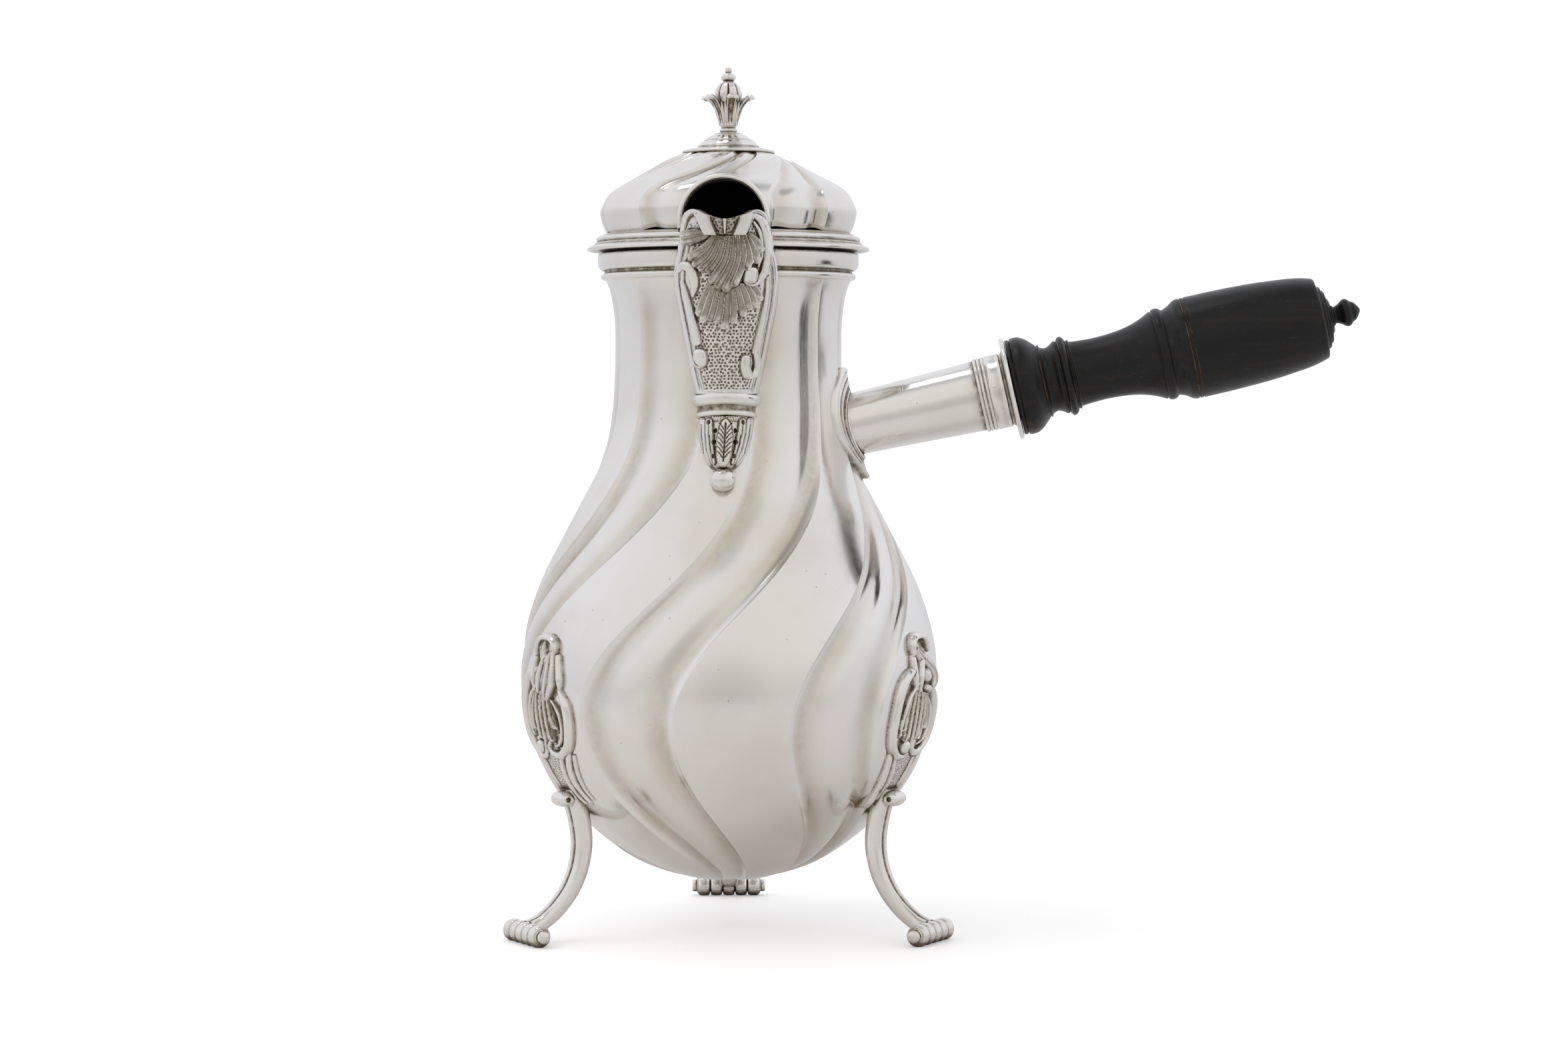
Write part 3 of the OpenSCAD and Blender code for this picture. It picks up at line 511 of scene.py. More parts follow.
def fluted_rings(outline, turn, band, depth, inset, wave=0.07):
    """Rings of a fluted shell, in columns along the crests, and how deep in a cove each point lies, which
    is the mask of the brown painted shade in the coves.
    """
    t = np.gradient(outline, axis=0)
    inward = unit(np.stack([-t[:, 1], t[:, 0]], axis=-1))
    share, down = band[:, None], depth[:, None]
    columns, depths, cove_shades = [], [], []
    v, u = np.array(BAND_STEPS)[None, :], np.array(PANEL_STEPS)[None, :]
    for k in range(FLUTES):
        right = turn[:, None] + PITCH * k
        columns += [right - share * (1 - v), right + (PITCH - share) * u]
        depths += [down * band_relief(v), -PANEL_SWELL * down * np.sin(np.pi * u)]
        # How deep in a cove each point lies: the mask of the brown painted shade.
        cove_shades += [smoothstep(0.35, 1.0, band_relief(v)) * smoothstep(0.2, 1.2, down), 0 * share * u]
    azimuth, sunk, cove_shade = (np.concatenate(part, axis=1) for part in (columns, depths, cove_shades))
    a, z = np.radians(azimuth), outline[:, 1:]
    fade = np.clip(outline[:, :1] / 20, 0, 1)
    # The hand-raised sheet is never quite even.
    uneven = np.sin(3 * a + z * 0.08) * 0.5 + np.sin(7 * a - z * 0.13 + 1) * 0.35
    uneven = uneven + np.sin(z * 0.31 + 2 * a) * 0.3
    sunk = sunk + fade * wave * uneven
    r = outline[:, :1] + (inset + sunk) * inward[:, :1]
    return at(azimuth, np.maximum(r, 0.05), z + (inset + sunk) * inward[:, 1:]), cove_shade


def two_sided(outer, cove_shade, inner, loop):
    """A sheet metal shape, with brown painted shade in its coves and its inside painted dark as shade with
    some tarnish.
    """
    mark = np.concatenate([cove_shade, np.full(inner.shape[:2], INSIDE_SHADE)]).ravel()
    return Shape().rings(np.concatenate([outer, inner]), loop, mark)


def cut(obj, shape):
    """Cuts a closed shape out of a piece."""
    mesh = new_mesh("cutter", shape)
    cutter = new_object("cutter", mesh)
    modifier = obj.modifiers.new("cut", "BOOLEAN")
    modifier.object, modifier.solver = cutter, "MANIFOLD"
    bpy.context.view_layer.update()
    graph = bpy.context.evaluated_depsgraph_get()
    result = bpy.data.meshes.new_from_object(obj.evaluated_get(graph), depsgraph=graph)
    obj.modifiers.clear()
    obj.data = result
    shade(result, 50)
    bpy.data.objects.remove(cutter)
    bpy.data.meshes.remove(mesh)


def extruded(outline, y_from, y_to, turn):
    """A closed [x, z] outline run along Y and turned about the pot's axis."""
    outline = np.array(outline, float)
    rings = [np.stack([outline[:, 0], np.full(len(outline), y), outline[:, 1]],
        axis=-1) for y in (y_from, y_to)]
    return Shape().rings(turn_z(np.array(rings), turn))


def circle(centre, r, n):
    turn = np.linspace(0, 2 * np.pi, n, endpoint=False)
    return np.stack([centre[0] + r * np.cos(turn), centre[1] + r * np.sin(turn)], axis=-1)


SPOUT_TURN, ARCH_TURN = -1.0, -2.0
# The mark of inside faces, which the silver paints black-brown as shade with some tarnish.
INSIDE_SHADE = 3.0
# The holes through the wall behind the spout lie in five rows, offset by half a step.
HOLE_R, HOLE_STEP, HOLE_ROW, HOLES_Z = 1.3, 5.5, 4.785, 195


def make_body():
    z = BODY_OUTLINE[:, 1]
    depth = body_depth(z)
    rings, cove_shade = fluted_rings(BODY_OUTLINE, body_turn(z), body_band(z), depth, 0)
    inner = BODY_OUTLINE[::4]
    zi = inner[:, 1]
    inside = fluted_rings(inner, body_turn(zi), body_band(zi), np.interp(zi, z, depth), SHEET)[0][:0:-1]
    shell = piece("raised_body", two_sided(rings, cove_shade, inside, False), raised, "body_shell", (26, 0.5),
        sharp=70)
    holes = Shape()
    for row in range(-2, 3):
        for k in (-0.5, 0.5) if row % 2 else (-1, 0, 1):
            outline = circle((k * HOLE_STEP, HOLES_Z + row * HOLE_ROW), HOLE_R, 24)
            holes.join(extruded(outline, -30, -45, SPOUT_TURN))
    cut(shell, holes)


make_body()

# ---- collar --------------------------------------------------------------------------------


def make_collar():
    profile = [[38, 211], [40.3, 210.9]]
    profile += arc((40.45, 212.1), 1.05, -80, 80, 10)
    profile += [[40.25, 213.5], [40.3, 213.9]]
    profile += arc((40.4, 215.9), 1.9, -90, -4, 8)
    profile += [[42.35, 216.1], [42.4, 216.5], [42.42, 218], [42.4, 219], [42.25, 219.4], [39, 219.45],
        [38.3, 219.3]]
    profile += [[38, 219], [38, 215]]
    piece("mouth_collar", lathe(profile, 200, wobble=0.03), turned, "neck_collar", (6, 0.10))


make_collar()

# ---- spout ---------------------------------------------------------------------------------

CHANNEL_Z, LIP_Z = 174.0, 230.4
GUTTER_SHEET, HIDDEN = 1.3, -0.5
WIDTHS = np.array([[174, 10], [186, 12.3], [198, 14.8], [206, 16.2], [210, 16.6], [215, 16], [222, 14.3],
    [232, 12.8]])
REACHES = np.array([[174, 49.5], [186, 51.8], [198, 54.8], [210, 58.8], [222, 64], [232, 68.5]])
WIDTH_LINE, REACH_LINE = curve(WIDTHS, 6), curve(REACHES, 6)


def spout_back(z, w):
    """How far forward the spout's edges run back to: the neck, the collar or the lid's rim."""
    back = np.sqrt(np.maximum(body_r(np.minimum(z, NECK_TOP)) ** 2 - w ** 2, 1)) - 0.5
    back = np.where(z > NECK_TOP, np.sqrt(COLLAR_R ** 2 - w ** 2), back)
    return np.where(z > COLLAR_TOP, RIM_R, back)


def spout_surface(x, z, lift):
    """The point on the spout's face at a sideways place and a height, with a lift off the face."""
    x, z, lift = np.broadcast_arrays(np.asarray(x, float), np.asarray(z, float), np.asarray(lift, float))
    w = np.interp(z, WIDTH_LINE[:, 0], WIDTH_LINE[:, 1])
    s = np.clip(x / w, -0.995, 0.995)
    turn = np.arcsin(s)
    # The face is one smooth curve, and only its edges run back to the neck and collar.
    back = 37.0 + 9.4 * smoothstep(202, 219, z)
    front = np.interp(z, REACH_LINE[:, 0], REACH_LINE[:, 1])
    px = (w + lift) * np.sin(turn)
    py = -back - (front - back + lift) * np.cos(turn) ** 0.85
    edge = smoothstep(0.95, 0.995, np.abs(s))
    py = py * (1 - edge) - edge * spout_back(z, w)
    return turn_z(np.stack([px, py, z + 0 * px], axis=-1), SPOUT_TURN)


# The lip's edge and its ornament, as [sideways, height] on the spout's face.
LIP_LINE = curve([[-17, 222], [-13.8, 223.5], [-13.3, 227.6], [-12.8, 229.1], [-11.3, 230.3],
    [-9.2, 230.7], [-7.2, 230], [-5.6, 229.1], [-3.1, 228.2], [0, 227.6], [3.1, 228.2], [6.2, 229.2],
    [8.8, 230.5], [10.8, 230.1], [12.1, 228.9], [13.1, 225], [17, 222]], 6)
SHELL_RIBS = [[[-5.6, 223.6], [-8.2, 223.6], [-10.8, 223.1]],
    [[-5, 222.4], [-7.8, 221.7], [-10.6, 220.9]], [[-3.2, 222.2], [-5.7, 218.9], [-9, 216.4]],
    [[-2.1, 222.2], [-4.8, 217], [-7.8, 214]], [[-1, 222.3], [-3.3, 216.2], [-6.2, 212.8]],
    [[0.1, 222.3], [-1.7, 216], [-4.1, 212.2]], [[1.3, 222.3], [0.2, 215.4], [-3.4, 209]],
    [[2.5, 222.3], [1.9, 214.8], [-1.7, 207.4]], [[3.6, 222.3], [3.6, 215.2], [0.3, 206.5]],
    [[4.7, 222.3], [5.2, 215.8], [2.6, 208.2]], [[5.7, 222.3], [6.9, 217.2], [6, 213.2]],
    [[6.6, 222.3], [8.1, 218.3], [8.6, 215.2]], [[7, 222.9], [8.7, 220.9], [9.5, 218.6]]]
LOW_RIBS = [[[-4.8, 207.6], [-6.8, 202.3], [-7.4, 199.2]], [[-3.5, 206.8], [-5.1, 201.3], [-6.2, 197]],
    [[-2.2, 206.2], [-3.3, 200.4], [-4.2, 197.6]], [[-0.8, 206], [-1.4, 200.4], [-2.1, 197]],
    [[0.7, 206.2], [0.4, 199.4], [-0.2, 194.9]], [[2.1, 206.5], [2.4, 200.4], [2.3, 196.6]],
    [[3.5, 206.9], [4.4, 202], [5, 198.9]], [[4.9, 207.4], [6.2, 203.6], [6.5, 200.8]],
    [[6.2, 207.7], [7.9, 204.4], [8.2, 201.6]], [[7.4, 207.9], [9.2, 205.8], [9.6, 203.8]]]


def spout_grid(columns, rows, left=-89.9, right=89.9, low=0.0, high=1.0):
    """A grid over the spout's face, between two turns and two shares of its height."""
    turns = np.linspace(left, right, columns)[None, :]
    top = np.interp(13.3 * np.sin(np.radians(turns)), LIP_LINE[:, 0], LIP_LINE[:, 1])
    z = CHANNEL_Z + np.linspace(low, high, rows)[:, None] * (top - CHANNEL_Z)
    w = np.interp(z, WIDTH_LINE[:, 0], WIDTH_LINE[:, 1])
    return w * np.sin(np.radians(turns)), z, w


def mirrored(side, path):
    return [[side * x, z] for x, z in path]


def laid_on(surface, relief, back, mark=0.0):
    """A closed sheet with a relief on its face."""
    x, z = relief.x, relief.z
    return Shape().sheet(surface(x, z, relief.h), surface(x, z, back), np.maximum(relief.mark, mark))


def spout_relief(columns, rows, left, right, low, high):
    x, z, _ = spout_grid(columns, rows, left, right, low, high)
    return Relief(x, z, HIDDEN)


def spout_piece(name, relief, node, cavity):
    piece(name, laid_on(spout_surface, relief, HIDDEN - 0.3), cast, node, cavity)


def make_channel():
    x, z, w = spout_grid(250, 340)
    edge = np.abs(x) / w
    inside_edge = smoothstep(0.62, 0.70, edge)
    dots = stipple(x, z, 1.15, 0.40) * (1 - inside_edge) * smoothstep(1, 2, z - CHANNEL_Z)
    keel = np.exp(-(x / 0.9) ** 2) * smoothstep(196, 190, z) * 0.55
    ground = Relief(x, z, 0.25 * smoothstep(3, 0, z - CHANNEL_Z) + keel - 0.34 * dots)
    # Smooth borders run up both edges and turn over into the lip.
    left = [[-8.9, 175], [-10.6, 182], [-12.1, 190], [-13.7, 198], [-15, 205], [-15.4, 211],
        [-14.5, 216], [-13.4, 221], [-12.9, 226], [-11.2, 229.6]]
    right = [[9.3, 175], [11.2, 182], [12.8, 190], [14.3, 198], [15.4, 205], [15.7, 211],
        [14.9, 216], [13.6, 221], [12.6, 226], [10.8, 229.6]]
    for side, line in ((-1, left), (1, right)):
        ground.stroke(line, [0.8, 0.9, 0.9, 0.9, 0.9, 0.9, 0.9, 1],
            [0.4, 0.5, 0.5, 0.5, 0.5, 0.7, 1, 1.2], power=0.5)
        ground.stroke([[p[0] - side * 2.1, p[1] - 0.3] for p in line[:-1]],
            [0.3, 0.45, 0.5, 0.5, 0.5, 0.4], [0.3, 0.45, 0.5, 0.5, 0.45, 0.3])
    # The two wings of the lip meet in a narrow hollow.
    ground.stroke([[0, 227.4], [0, 223.2]], [0.7, 0.4], [0.7, 0.6])
    for side in (-1, 1):
        wing = ground.h.copy()
        ground.stroke(mirrored(side, [[7.4, 229.6], [6.4, 228.2], [5.3, 225.6], [4.1, 222.8],
            [3.4, 221]]), [1.6, 1.8, 1.75, 1.7, 1.7], [1.6, 2, 2.3, 2.4, 2.4], power=0.12)
        ground.h = wing + (ground.h - wing) * smoothstep(222.3, 222.7, z)
        ground.stroke(mirrored(side, [[12.6, 227], [11.2, 229.2], [9, 230.2], [7, 229.6]]),
            [0.9, 1, 1, 1], [1.1, 1.5, 1.7, 1.8])
    ground.h += 0.4 * smoothstep(1.6, 0.0, LIP_Z - 1.4 - z) * (np.abs(x) < 3)
    dark = (0.06 + 0.94 * dots) * (ground.h < 0.62) * (1 - inside_edge) * (z < 222.5)
    dark = np.maximum(dark, 0.55 * (ground.h < 0.55) * (np.abs(x) < 4) * smoothstep(222.3, 223.0, z))
    front, back = spout_surface(x, z, ground.h), spout_surface(x, z, -GUTTER_SHEET)
    return Shape().sheet(front, back, np.maximum(dark, ground.mark), INSIDE_SHADE)


def make_spout():
    piece("spout_gutter", make_channel(), stippled, "spout_channel", (14, 0.07), sharp=60)

    shell = spout_relief(210, 250, -62, 58, 0.33, 0.90)
    shell.flutes(LOW_RIBS, [0.8, 1.25, 1.25], [0.8, 1.2, 1.9], dip=0.50, ridge=0.45)
    shell.flutes(SHELL_RIBS, [0.7, 1.3, 1.35], [1.3, 1.8, 2.7], dip=0.50, ridge=0.50)
    shell.stroke([[-10.3, 226.4], [-8.3, 227.2]], [0.9, 1], [1.3, 1.7])
    shell.stroke([[-11, 224.6], [-9.9, 225.4]], [0.6, 0.7], [1.2, 1.4])
    spout_piece("spout_shell_fan", shell, "spout_scallop", (10, 0.20))

    left = spout_relief(120, 260, -89, -14, 0.1, 0.75)
    left.stroke([[-14.6, 212], [-12.6, 213.6], [-10.6, 212.9], [-9.4, 210.2], [-9.2, 207],
        [-9.9, 204.2]], [0.7, 1.4, 1.6, 1.5, 1.2, 0.5], [0.8, 1.6, 2, 2, 1.6, 0.9], power=0.4)
    left.carve([[-13.4, 210.2], [-12.3, 209.2], [-11.4, 207.2], [-11.1, 205.2]], [0.8, 0.8, 0.6, 0.35],
        1.2)
    left.stroke([[-13.3, 208.9], [-12.2, 205], [-11, 200.5], [-9.7, 195.5], [-8.5, 190]],
        [0.6, 1, 1.15, 1.2, 1.2], [0.6, 1.3, 1.4, 1.4, 1.3], power=0.35)
    left.stroke([[-7.8, 186.2], [-7.6, 185], [-7.7, 183.8]], [2.1, 2.25, 2.1], [1.9, 2.1, 1.9], power=0.5)
    left.carve([[-9.3, 186.4], [-9, 184.2], [-7.8, 182.7]], [0.25, 0.35, 0.25], 0.45)
    spout_piece("spout_left_scroll", left, "spout_scroll_left", (10, 0.055))

    right = spout_relief(140, 320, 12, 89, 0.08, 0.99)
    right.stroke([[8.6, 228.9], [11, 226.9], [12.4, 222.5], [12.6, 217], [11.8, 212.3], [10.1, 209.4],
        [8.1, 207.9], [6.2, 208.6], [5.4, 210.6]], [1, 1.4, 1.4, 1.3, 1.2, 1.1, 0.9, 0.6],
        [1.4, 1.8, 1.9, 1.9, 1.8, 1.7, 1.5, 1], power=0.4)
    right.stroke([[8.6, 226.8], [10.1, 224], [10.6, 220.4], [10.6, 216.3], [9.7, 213.2]],
        [0.45, 0.6, 0.6, 0.6, 0.4], [0.9, 1.3, 1.4, 1.4, 1])
    right.stroke([[7.5, 211.4], [7.3, 209.8]], [2.3, 2.3], [2.8, 2.8])
    right.stroke([[13, 210], [12.5, 203.5], [11.2, 197], [9.8, 191], [8.7, 186.8]],
        [0.6, 0.9, 1, 1, 0.9], [0.8, 1.3, 1.4, 1.4, 1.3], power=0.35)
    right.stroke([[8.9, 187], [9.5, 183.4], [8.8, 180.4], [7, 179.2]], [0.9, 1.1, 1.2, 1],
        [1.3, 1.6, 1.7, 1.5], power=0.42)
    right.stroke([[6, 184.9], [5.7, 182.6], [6.4, 180]], [1.4, 1.5, 1.6], [1.7, 2, 1.8], power=0.42)
    right.carve([[7.4, 185], [7.6, 182.6]], [0.3, 0.3], 0.8)
    spout_piece("spout_right_scroll", right, "spout_scroll_right", (10, 0.055))


make_spout()


def d_rings(rows, arch=0.0, columns=61):
    """Rings on the neck, flat at the back and rounded in front, from rows of [z, half width, reach]."""
    turn = np.radians(np.linspace(-90, 90, columns))
    rings = []
    for z, w, reach in rows:
        back = math.sqrt(body_r(z) ** 2 - w * w) - 0.6
        rings.append(np.stack([w * np.sin(turn), -back - (reach - back) * np.cos(turn),
            z + arch * (np.cos(turn) ** 2 - 0.4)], axis=-1))
    return np.array(rings)


def make_spout_foot():
    rows = []
    for z, off in [[166.7, -0.4], [166.9, 0.3], [167.3, 0.75], [167.8, 0.8], [168.2, 0.4], [168.7, 0],
            [169.5, -0.1], [170.2, 0.15], [170.5, 0.8], [171.1, 1.3], [171.9, 1.6], [172.8, 1.6],
            [173.6, 1.3], [174.1, 0.8], [174.4, 0]]:
        rows.append([z, 9.2 + 0.05 * (z - 167) + off, 48.7 + 0.05 * (z - 167) + off])
    piece("spout_ring", Shape().rings(turn_z(d_rings(rows, arch=0.9), SPOUT_TURN)), turned, "spout_band",
        (6, 0.10))

    line = curve([[150.3, 2.4, 46.2], [151.5, 4.1, 47.6], [154, 5.8, 48.1], [158, 7.4, 48.3],
        [162.5, 8.5, 48.5], [167, 8.9, 48.6]], 22)
    rings = d_rings(line, columns=171)
    x, z = rings[..., 0], rings[..., 2]
    leaf = Relief(x, z, -0.35)
    strip = smoothstep(165.4, 166.2, z)
    dots = stipple(x, z, 0.75, 0.22) * strip
    leaf.h += strip * 0.3 - 0.15 * dots
    # A veined leaf hangs down the middle, with two pairs of striped leaves beside it.
    leaf.stroke([[0, 165.9], [0, 163.5], [0, 160], [0, 156.5], [0, 153.5], [0, 151.6]],
        [0.5, 1.9, 2.5, 2.4, 1.9, 0.8], [0.8, 1.1, 1.2, 1.2, 1, 0.6], power=0.35)
    leaf.carve([[0, 165], [0, 153]], [0.28, 0.2], 0.45)
    for side in (-1, 1):
        for k in range(7):
            foot = 154.2 + 1.45 * k
            leaf.carve([[side * 0.35, foot], [side * 1.2, foot + 1.3], [side * 2.1, foot + 2.0]],
                [0.2, 0.26, 0.2], 0.38)
        leaf.stroke(mirrored(side, [[5.2, 165.6], [4.9, 161.7], [4.2, 156.5], [3, 152.4]]),
            [0.9, 1.2, 1.1, 0.6], [0.8, 1.1, 1, 0.6], power=0.4)
        leaf.stroke(mirrored(side, [[7.4, 165.6], [7, 160.5], [5.7, 155], [4.2, 151.6]]),
            [1, 1.1, 1, 0.5], [0.7, 0.9, 0.8, 0.5], power=0.4)
        for shift, top in ((5.0, 164.6), (5.9, 163.6), (7.2, 164.4), (4.4, 161.0)):
            leaf.carve([[side * shift, top], [side * (shift - 0.4), top - 4],
                [side * (shift - 1.4), top - 9]], [0.16, 0.24, 0.16], 0.34)
        for hole in ([side * 5.1, 165.3], [side * 3.25, 162.7], [side * 3.4, 159.1], [side * 3.1, 154.8]):
            leaf.carve([hole, [hole[0], hole[1] - 0.35]], [0.55, 0.55], 1.4)
    turn = np.linspace(-90, 90, x.shape[1])[None, :]
    out = at(turn, 1 + 0 * z, 0)
    relief = leaf.h * smoothstep(89, 82, np.abs(turn))
    # The calyx and its drop lean a little to one side.
    lean = np.array([-1, 0, 0]) * smoothstep(168, 147, z)[..., None]
    rings = turn_z(rings + out * relief[..., None] + lean, SPOUT_TURN)
    shape = Shape().rings(rings, mark=np.maximum(leaf.mark, dots + 0.12 * strip))
    piece("spout_leaf_calyx", shape, stippled, "spout_calyx", (8, 0.05))

    ball = Shape().blob(turn_z(np.array([-1, -46.4, 147.1]), SPOUT_TURN),
        [[4.05, 0, 0], [0, 0, 3.65], [0, -4, 0]], rows=28, cols=48)
    piece("spout_drop", ball, turned, "spout_ball", (4, 0.10))


make_spout_foot()

# ---- handle --------------------------------------------------------------------------------


def on_handle(points):
    """Takes points with the handle's axis as +Z to their place beside the pot."""
    a = math.radians(90 - HANDLE_RISE)
    c, s = math.cos(a), math.sin(a)
    points = np.asarray(points, float) @ np.array([[c, 0, -s], [0, 1, 0], [s, 0, c]])
    return turn_z(points + np.array([0, 0, HANDLE_Z]), HANDLE_TURN)


def swelling(points, steps):
    """Part of a turned outline, as a curve through points [distance along the axis, radius]."""
    return curve(points, steps)[:, ::-1].tolist()


def make_handle():
    bore = 9.2
    profile = [[bore, 36]] + swelling([[36, 10.1], [50, 10.3], [66, 10.8], [83.6, 11.4]], 8)
    for middle in (84.3, 85.5, 86.8):
        profile += arc((11.62, middle), 0.52, -80, 80, 9)
    profile += [[11.75, 87.5], [12.15, 87.9], [12.1, 89.2], [12, 90.6], [12.1, 91.7], [12.2, 92.1],
        [11.6, 92.3], [11.5, 92.5], [bore, 92.5]]
    piece("handle_tube", lathe(profile, 120, place=on_handle, wobble=0.02), turned, "handle_socket",
        (5, 0.10))
    disc = [[bore, 92.5], [11.7, 92.5], [12, 93.2], [12.6, 93.5]]
    disc += arc((15.95, 94.3), 0.78, -80, 80, 10) + [[15.2, 95.15], [bore, 95.2]]
    piece("handle_washer", lathe(disc, 140, place=on_handle, wobble=0.04), turned, "socket_disc",
        (5, 0.12))

    grip = [[9.15, 60], [9.15, 95.2], [15.3, 95.3], [15.6, 95.5], [15.65, 96.3], [15.45, 96.5],
        [15.1, 96.65], [15.45, 96.8]]
    grip += swelling([[97, 15.75], [98.2, 15.95], [100, 15.7], [101.9, 14.6], [103.5, 13.1],
        [104.5, 12.2]], 6)
    grip += [[11.9, 104.7], [11.75, 104.9], [11.75, 105.1], [12, 105.3], [11.8, 105.6], [11.2, 105.75]]
    grip += swelling([[105.9, 11], [107.4, 10.45], [108.9, 10.9], [110.2, 11.8], [110.9, 12]], 6)
    grip += [[11.7, 111.1], [11.7, 111.3]]
    grip += swelling([[111.4, 11.9], [112.1, 12.8], [113, 12.95], [113.8, 12.3], [114.2, 11.6]], 5)
    grip += [[11.1, 114.4], [11.1, 114.6], [11.4, 114.8], [11.35, 115.2], [10.8, 115.4]]
    grip += swelling([[115.7, 10.6], [119, 10.3], [124, 10.1], [130, 10.45], [135, 11.3], [139.5, 12.8],
        [142.6, 14.4]], 9)
    grip += [[14.15, 142.9], [14.2, 143.1], [14.6, 143.3]]
    grip += swelling([[143.5, 14.75], [144.4, 15], [145.4, 14.9], [146.1, 14.5]], 5)
    grip += [[14.1, 146.4], [14, 146.8]]
    grip += swelling([[147.2, 14.1], [149, 14.9], [150.4, 15.9], [151.6, 16.4]], 5)
    grip += [[16.45, 152.2], [16.45, 152.7], [16.1, 152.85], [16.1, 153], [16.45, 153.15], [16.45, 154],
        [16.1, 154.15], [16.1, 154.3], [16.45, 154.45]]
    grip += swelling([[154.8, 16.5], [165, 16.4], [176, 15.95], [185, 15.15], [191, 14.35],
        [195, 13.35]], 10)
    grip += [[13.1, 195.7], [12.7, 196.1], [10.6, 196.4], [10.2, 196.6], [10.1, 197.2], [9.8, 197.5],
        [8.8, 197.6], [8.6, 198.2], [8.2, 198.5], [6.1, 198.7], [5.8, 199.1], [5.2, 199.5], [1.9, 199.6],
        [1.9, 190]]
    grip = np.array(grip)
    tan = np.zeros(len(grip))
    for d, strength in [[96.65, 1], [105, 0.25], [114.5, 0.25], [152.92, 0.9], [154.22, 0.55],
            [111.2, 0.2]]:
        tan = np.maximum(tan, strength * (np.abs(grip[:, 1] - d) < 0.14))
    shape = lathe(grip, 160, mark=tan, place=on_handle, loop=True, wobble=0.03)
    piece("turned_grip", shape, wood, "wood_handle", (5, 0.2))

    end = [[0.02, 190], [1.88, 190], [1.88, 199.6], [3.5, 199.6], [3.3, 200.1], [2.8, 200.5]]
    end += swelling([[200.9, 2.7], [202.2, 3.3], [203.4, 4.2], [204.4, 4.5], [205.2, 4.2], [205.9, 3.5],
        [206.4, 3.2], [207.2, 2.7], [208, 1.7], [208.7, 0.5]], 5)
    end += [[0.02, 208.8]]
    piece("grip_button", lathe(end, 64, place=on_handle, loop=False), wood, "handle_button", (5, 0.2))


make_handle()


def make_escutcheon():
    hole = 9.9
    middle = HANDLE_Z + NECK_R * math.tan(math.radians(HANDLE_RISE))
    turn = np.linspace(0, 360, 200, endpoint=False)
    leaf = np.exp(-((turn - 180) / 14) ** 2)
    reach = 16.2 + 3.2 * np.cos(np.radians(turn)) + 3.9 * leaf
    # The section: a collar round the socket, two ridges, a rough dark hollow and a bead along the edge.
    steps = [[0, 2.9], [0.03, 2.9], [0.08, 2.5], [0.12, 2.15], [0.17, 2.3], [0.23, 2.3], [0.28, 1.95],
        [0.36, 1.65], [0.42, 1.9], [0.50, 1.9], [0.56, 1.55], [0.62, 1.35], [0.67, 1.65], [0.73, 1.6],
        [0.77, 1.1], [0.81, 0.8], [0.85, 0.85], [0.875, 1.35], [0.92, 1.6], [0.965, 1.35], [1, 0.7],
        [0.99, -1.2], [0, -1.2]]
    rings = []
    for t, lift in steps:
        rho = hole + (reach - hole) * t
        rise = leaf * (0.45 * smoothstep(0.5, 0.9, t) + 0.3 * math.sin(24 * t)) if lift > 0 else 0 * leaf
        z = middle + rho * np.cos(np.radians(turn))
        r = body_r(z) + lift + rise
        side = np.clip(rho * np.sin(np.radians(turn)) / r, -1, 1)
        if lift < 0:
            r = body_r(z) - 0.5 - body_hollow(90 + HANDLE_TURN + np.degrees(np.arcsin(side)), z)
        rings.append(turn_z(at(90 + np.degrees(np.arcsin(side)), r, z), HANDLE_TURN))
    piece("handle_plate", Shape().rings(np.array(rings)[:, ::-1], loop=True), cast, "handle_escutcheon",
        (7, 0.10))


make_escutcheon()

# ---- legs ----------------------------------------------------------------------------------

# The azimuth of each leg.
LEGS = {"front_left": -60, "front_right": 60, "back": 180}
# How far out from the pot's axis a toe's roll lies, and its radius.
TOE_U, TOE_R = 73.9, 3.6


def make_leg(name, azimuth):
    line = curve([[57.8, 49], [56.6, 44.5], [55.2, 39], [54.3, 33], [54.5, 27.5], [56, 21.5], [59, 15.6],
        [63.5, 10.4], [68.5, 6.6], [72.6, 5]], 8)
    count = len(line)
    t = np.linspace(0, 1, count)
    direction = unit(np.gradient(line, axis=0))
    normal = np.stack([-direction[:, 1], direction[:, 0]], axis=-1)
    across, deep = 4.1 - 1.0 * t + 0.7 * smoothstep(0.86, 1, t), 3.3 - 0.9 * t
    turn = np.linspace(0, 2 * np.pi, 48, endpoint=False)
    square = 1 / (np.abs(np.cos(turn)) ** 3 + np.abs(np.sin(turn)) ** 3) ** (1 / 3)
    # One groove runs down the outside, between two ridges.
    groove = 1 - 0.30 * np.exp(-((turn - np.pi / 2) / 0.26) ** 2)
    x = across[:, None] * np.cos(turn) * square * groove
    off = deep[:, None] * np.sin(turn) * square * groove
    p = line[:, None, :] + normal[:, None, :] * off[..., None]
    rings = np.stack([x, -p[..., 0], p[..., 1]], axis=-1)
    shape = Shape().rings(rings)

    # The knee: a short rounded roll across the top of the leg, drilled at both ends.
    half = [[0.02, -3.2], [0.6, -3.3], [0.8, -4.2], [1.3, -4.5], [2, -4.2], [2.6, -3.2], [2.9, -1.7]]
    knee = half + [[3, 0]] + [[r, -y] for r, y in half[::-1]]
    roll = lathe(knee, 40, loop=False, place=lambda q: np.stack([q[..., 2], -60.9 + q[..., 1],
        45.3 + 0.85 * q[..., 0]], axis=-1))
    shape.join(roll)
    shape.points = [turn_z(q, azimuth) for q in shape.points]
    piece(name + "_scroll_leg", shape, cast, name + "_leg", (8, 0.12))


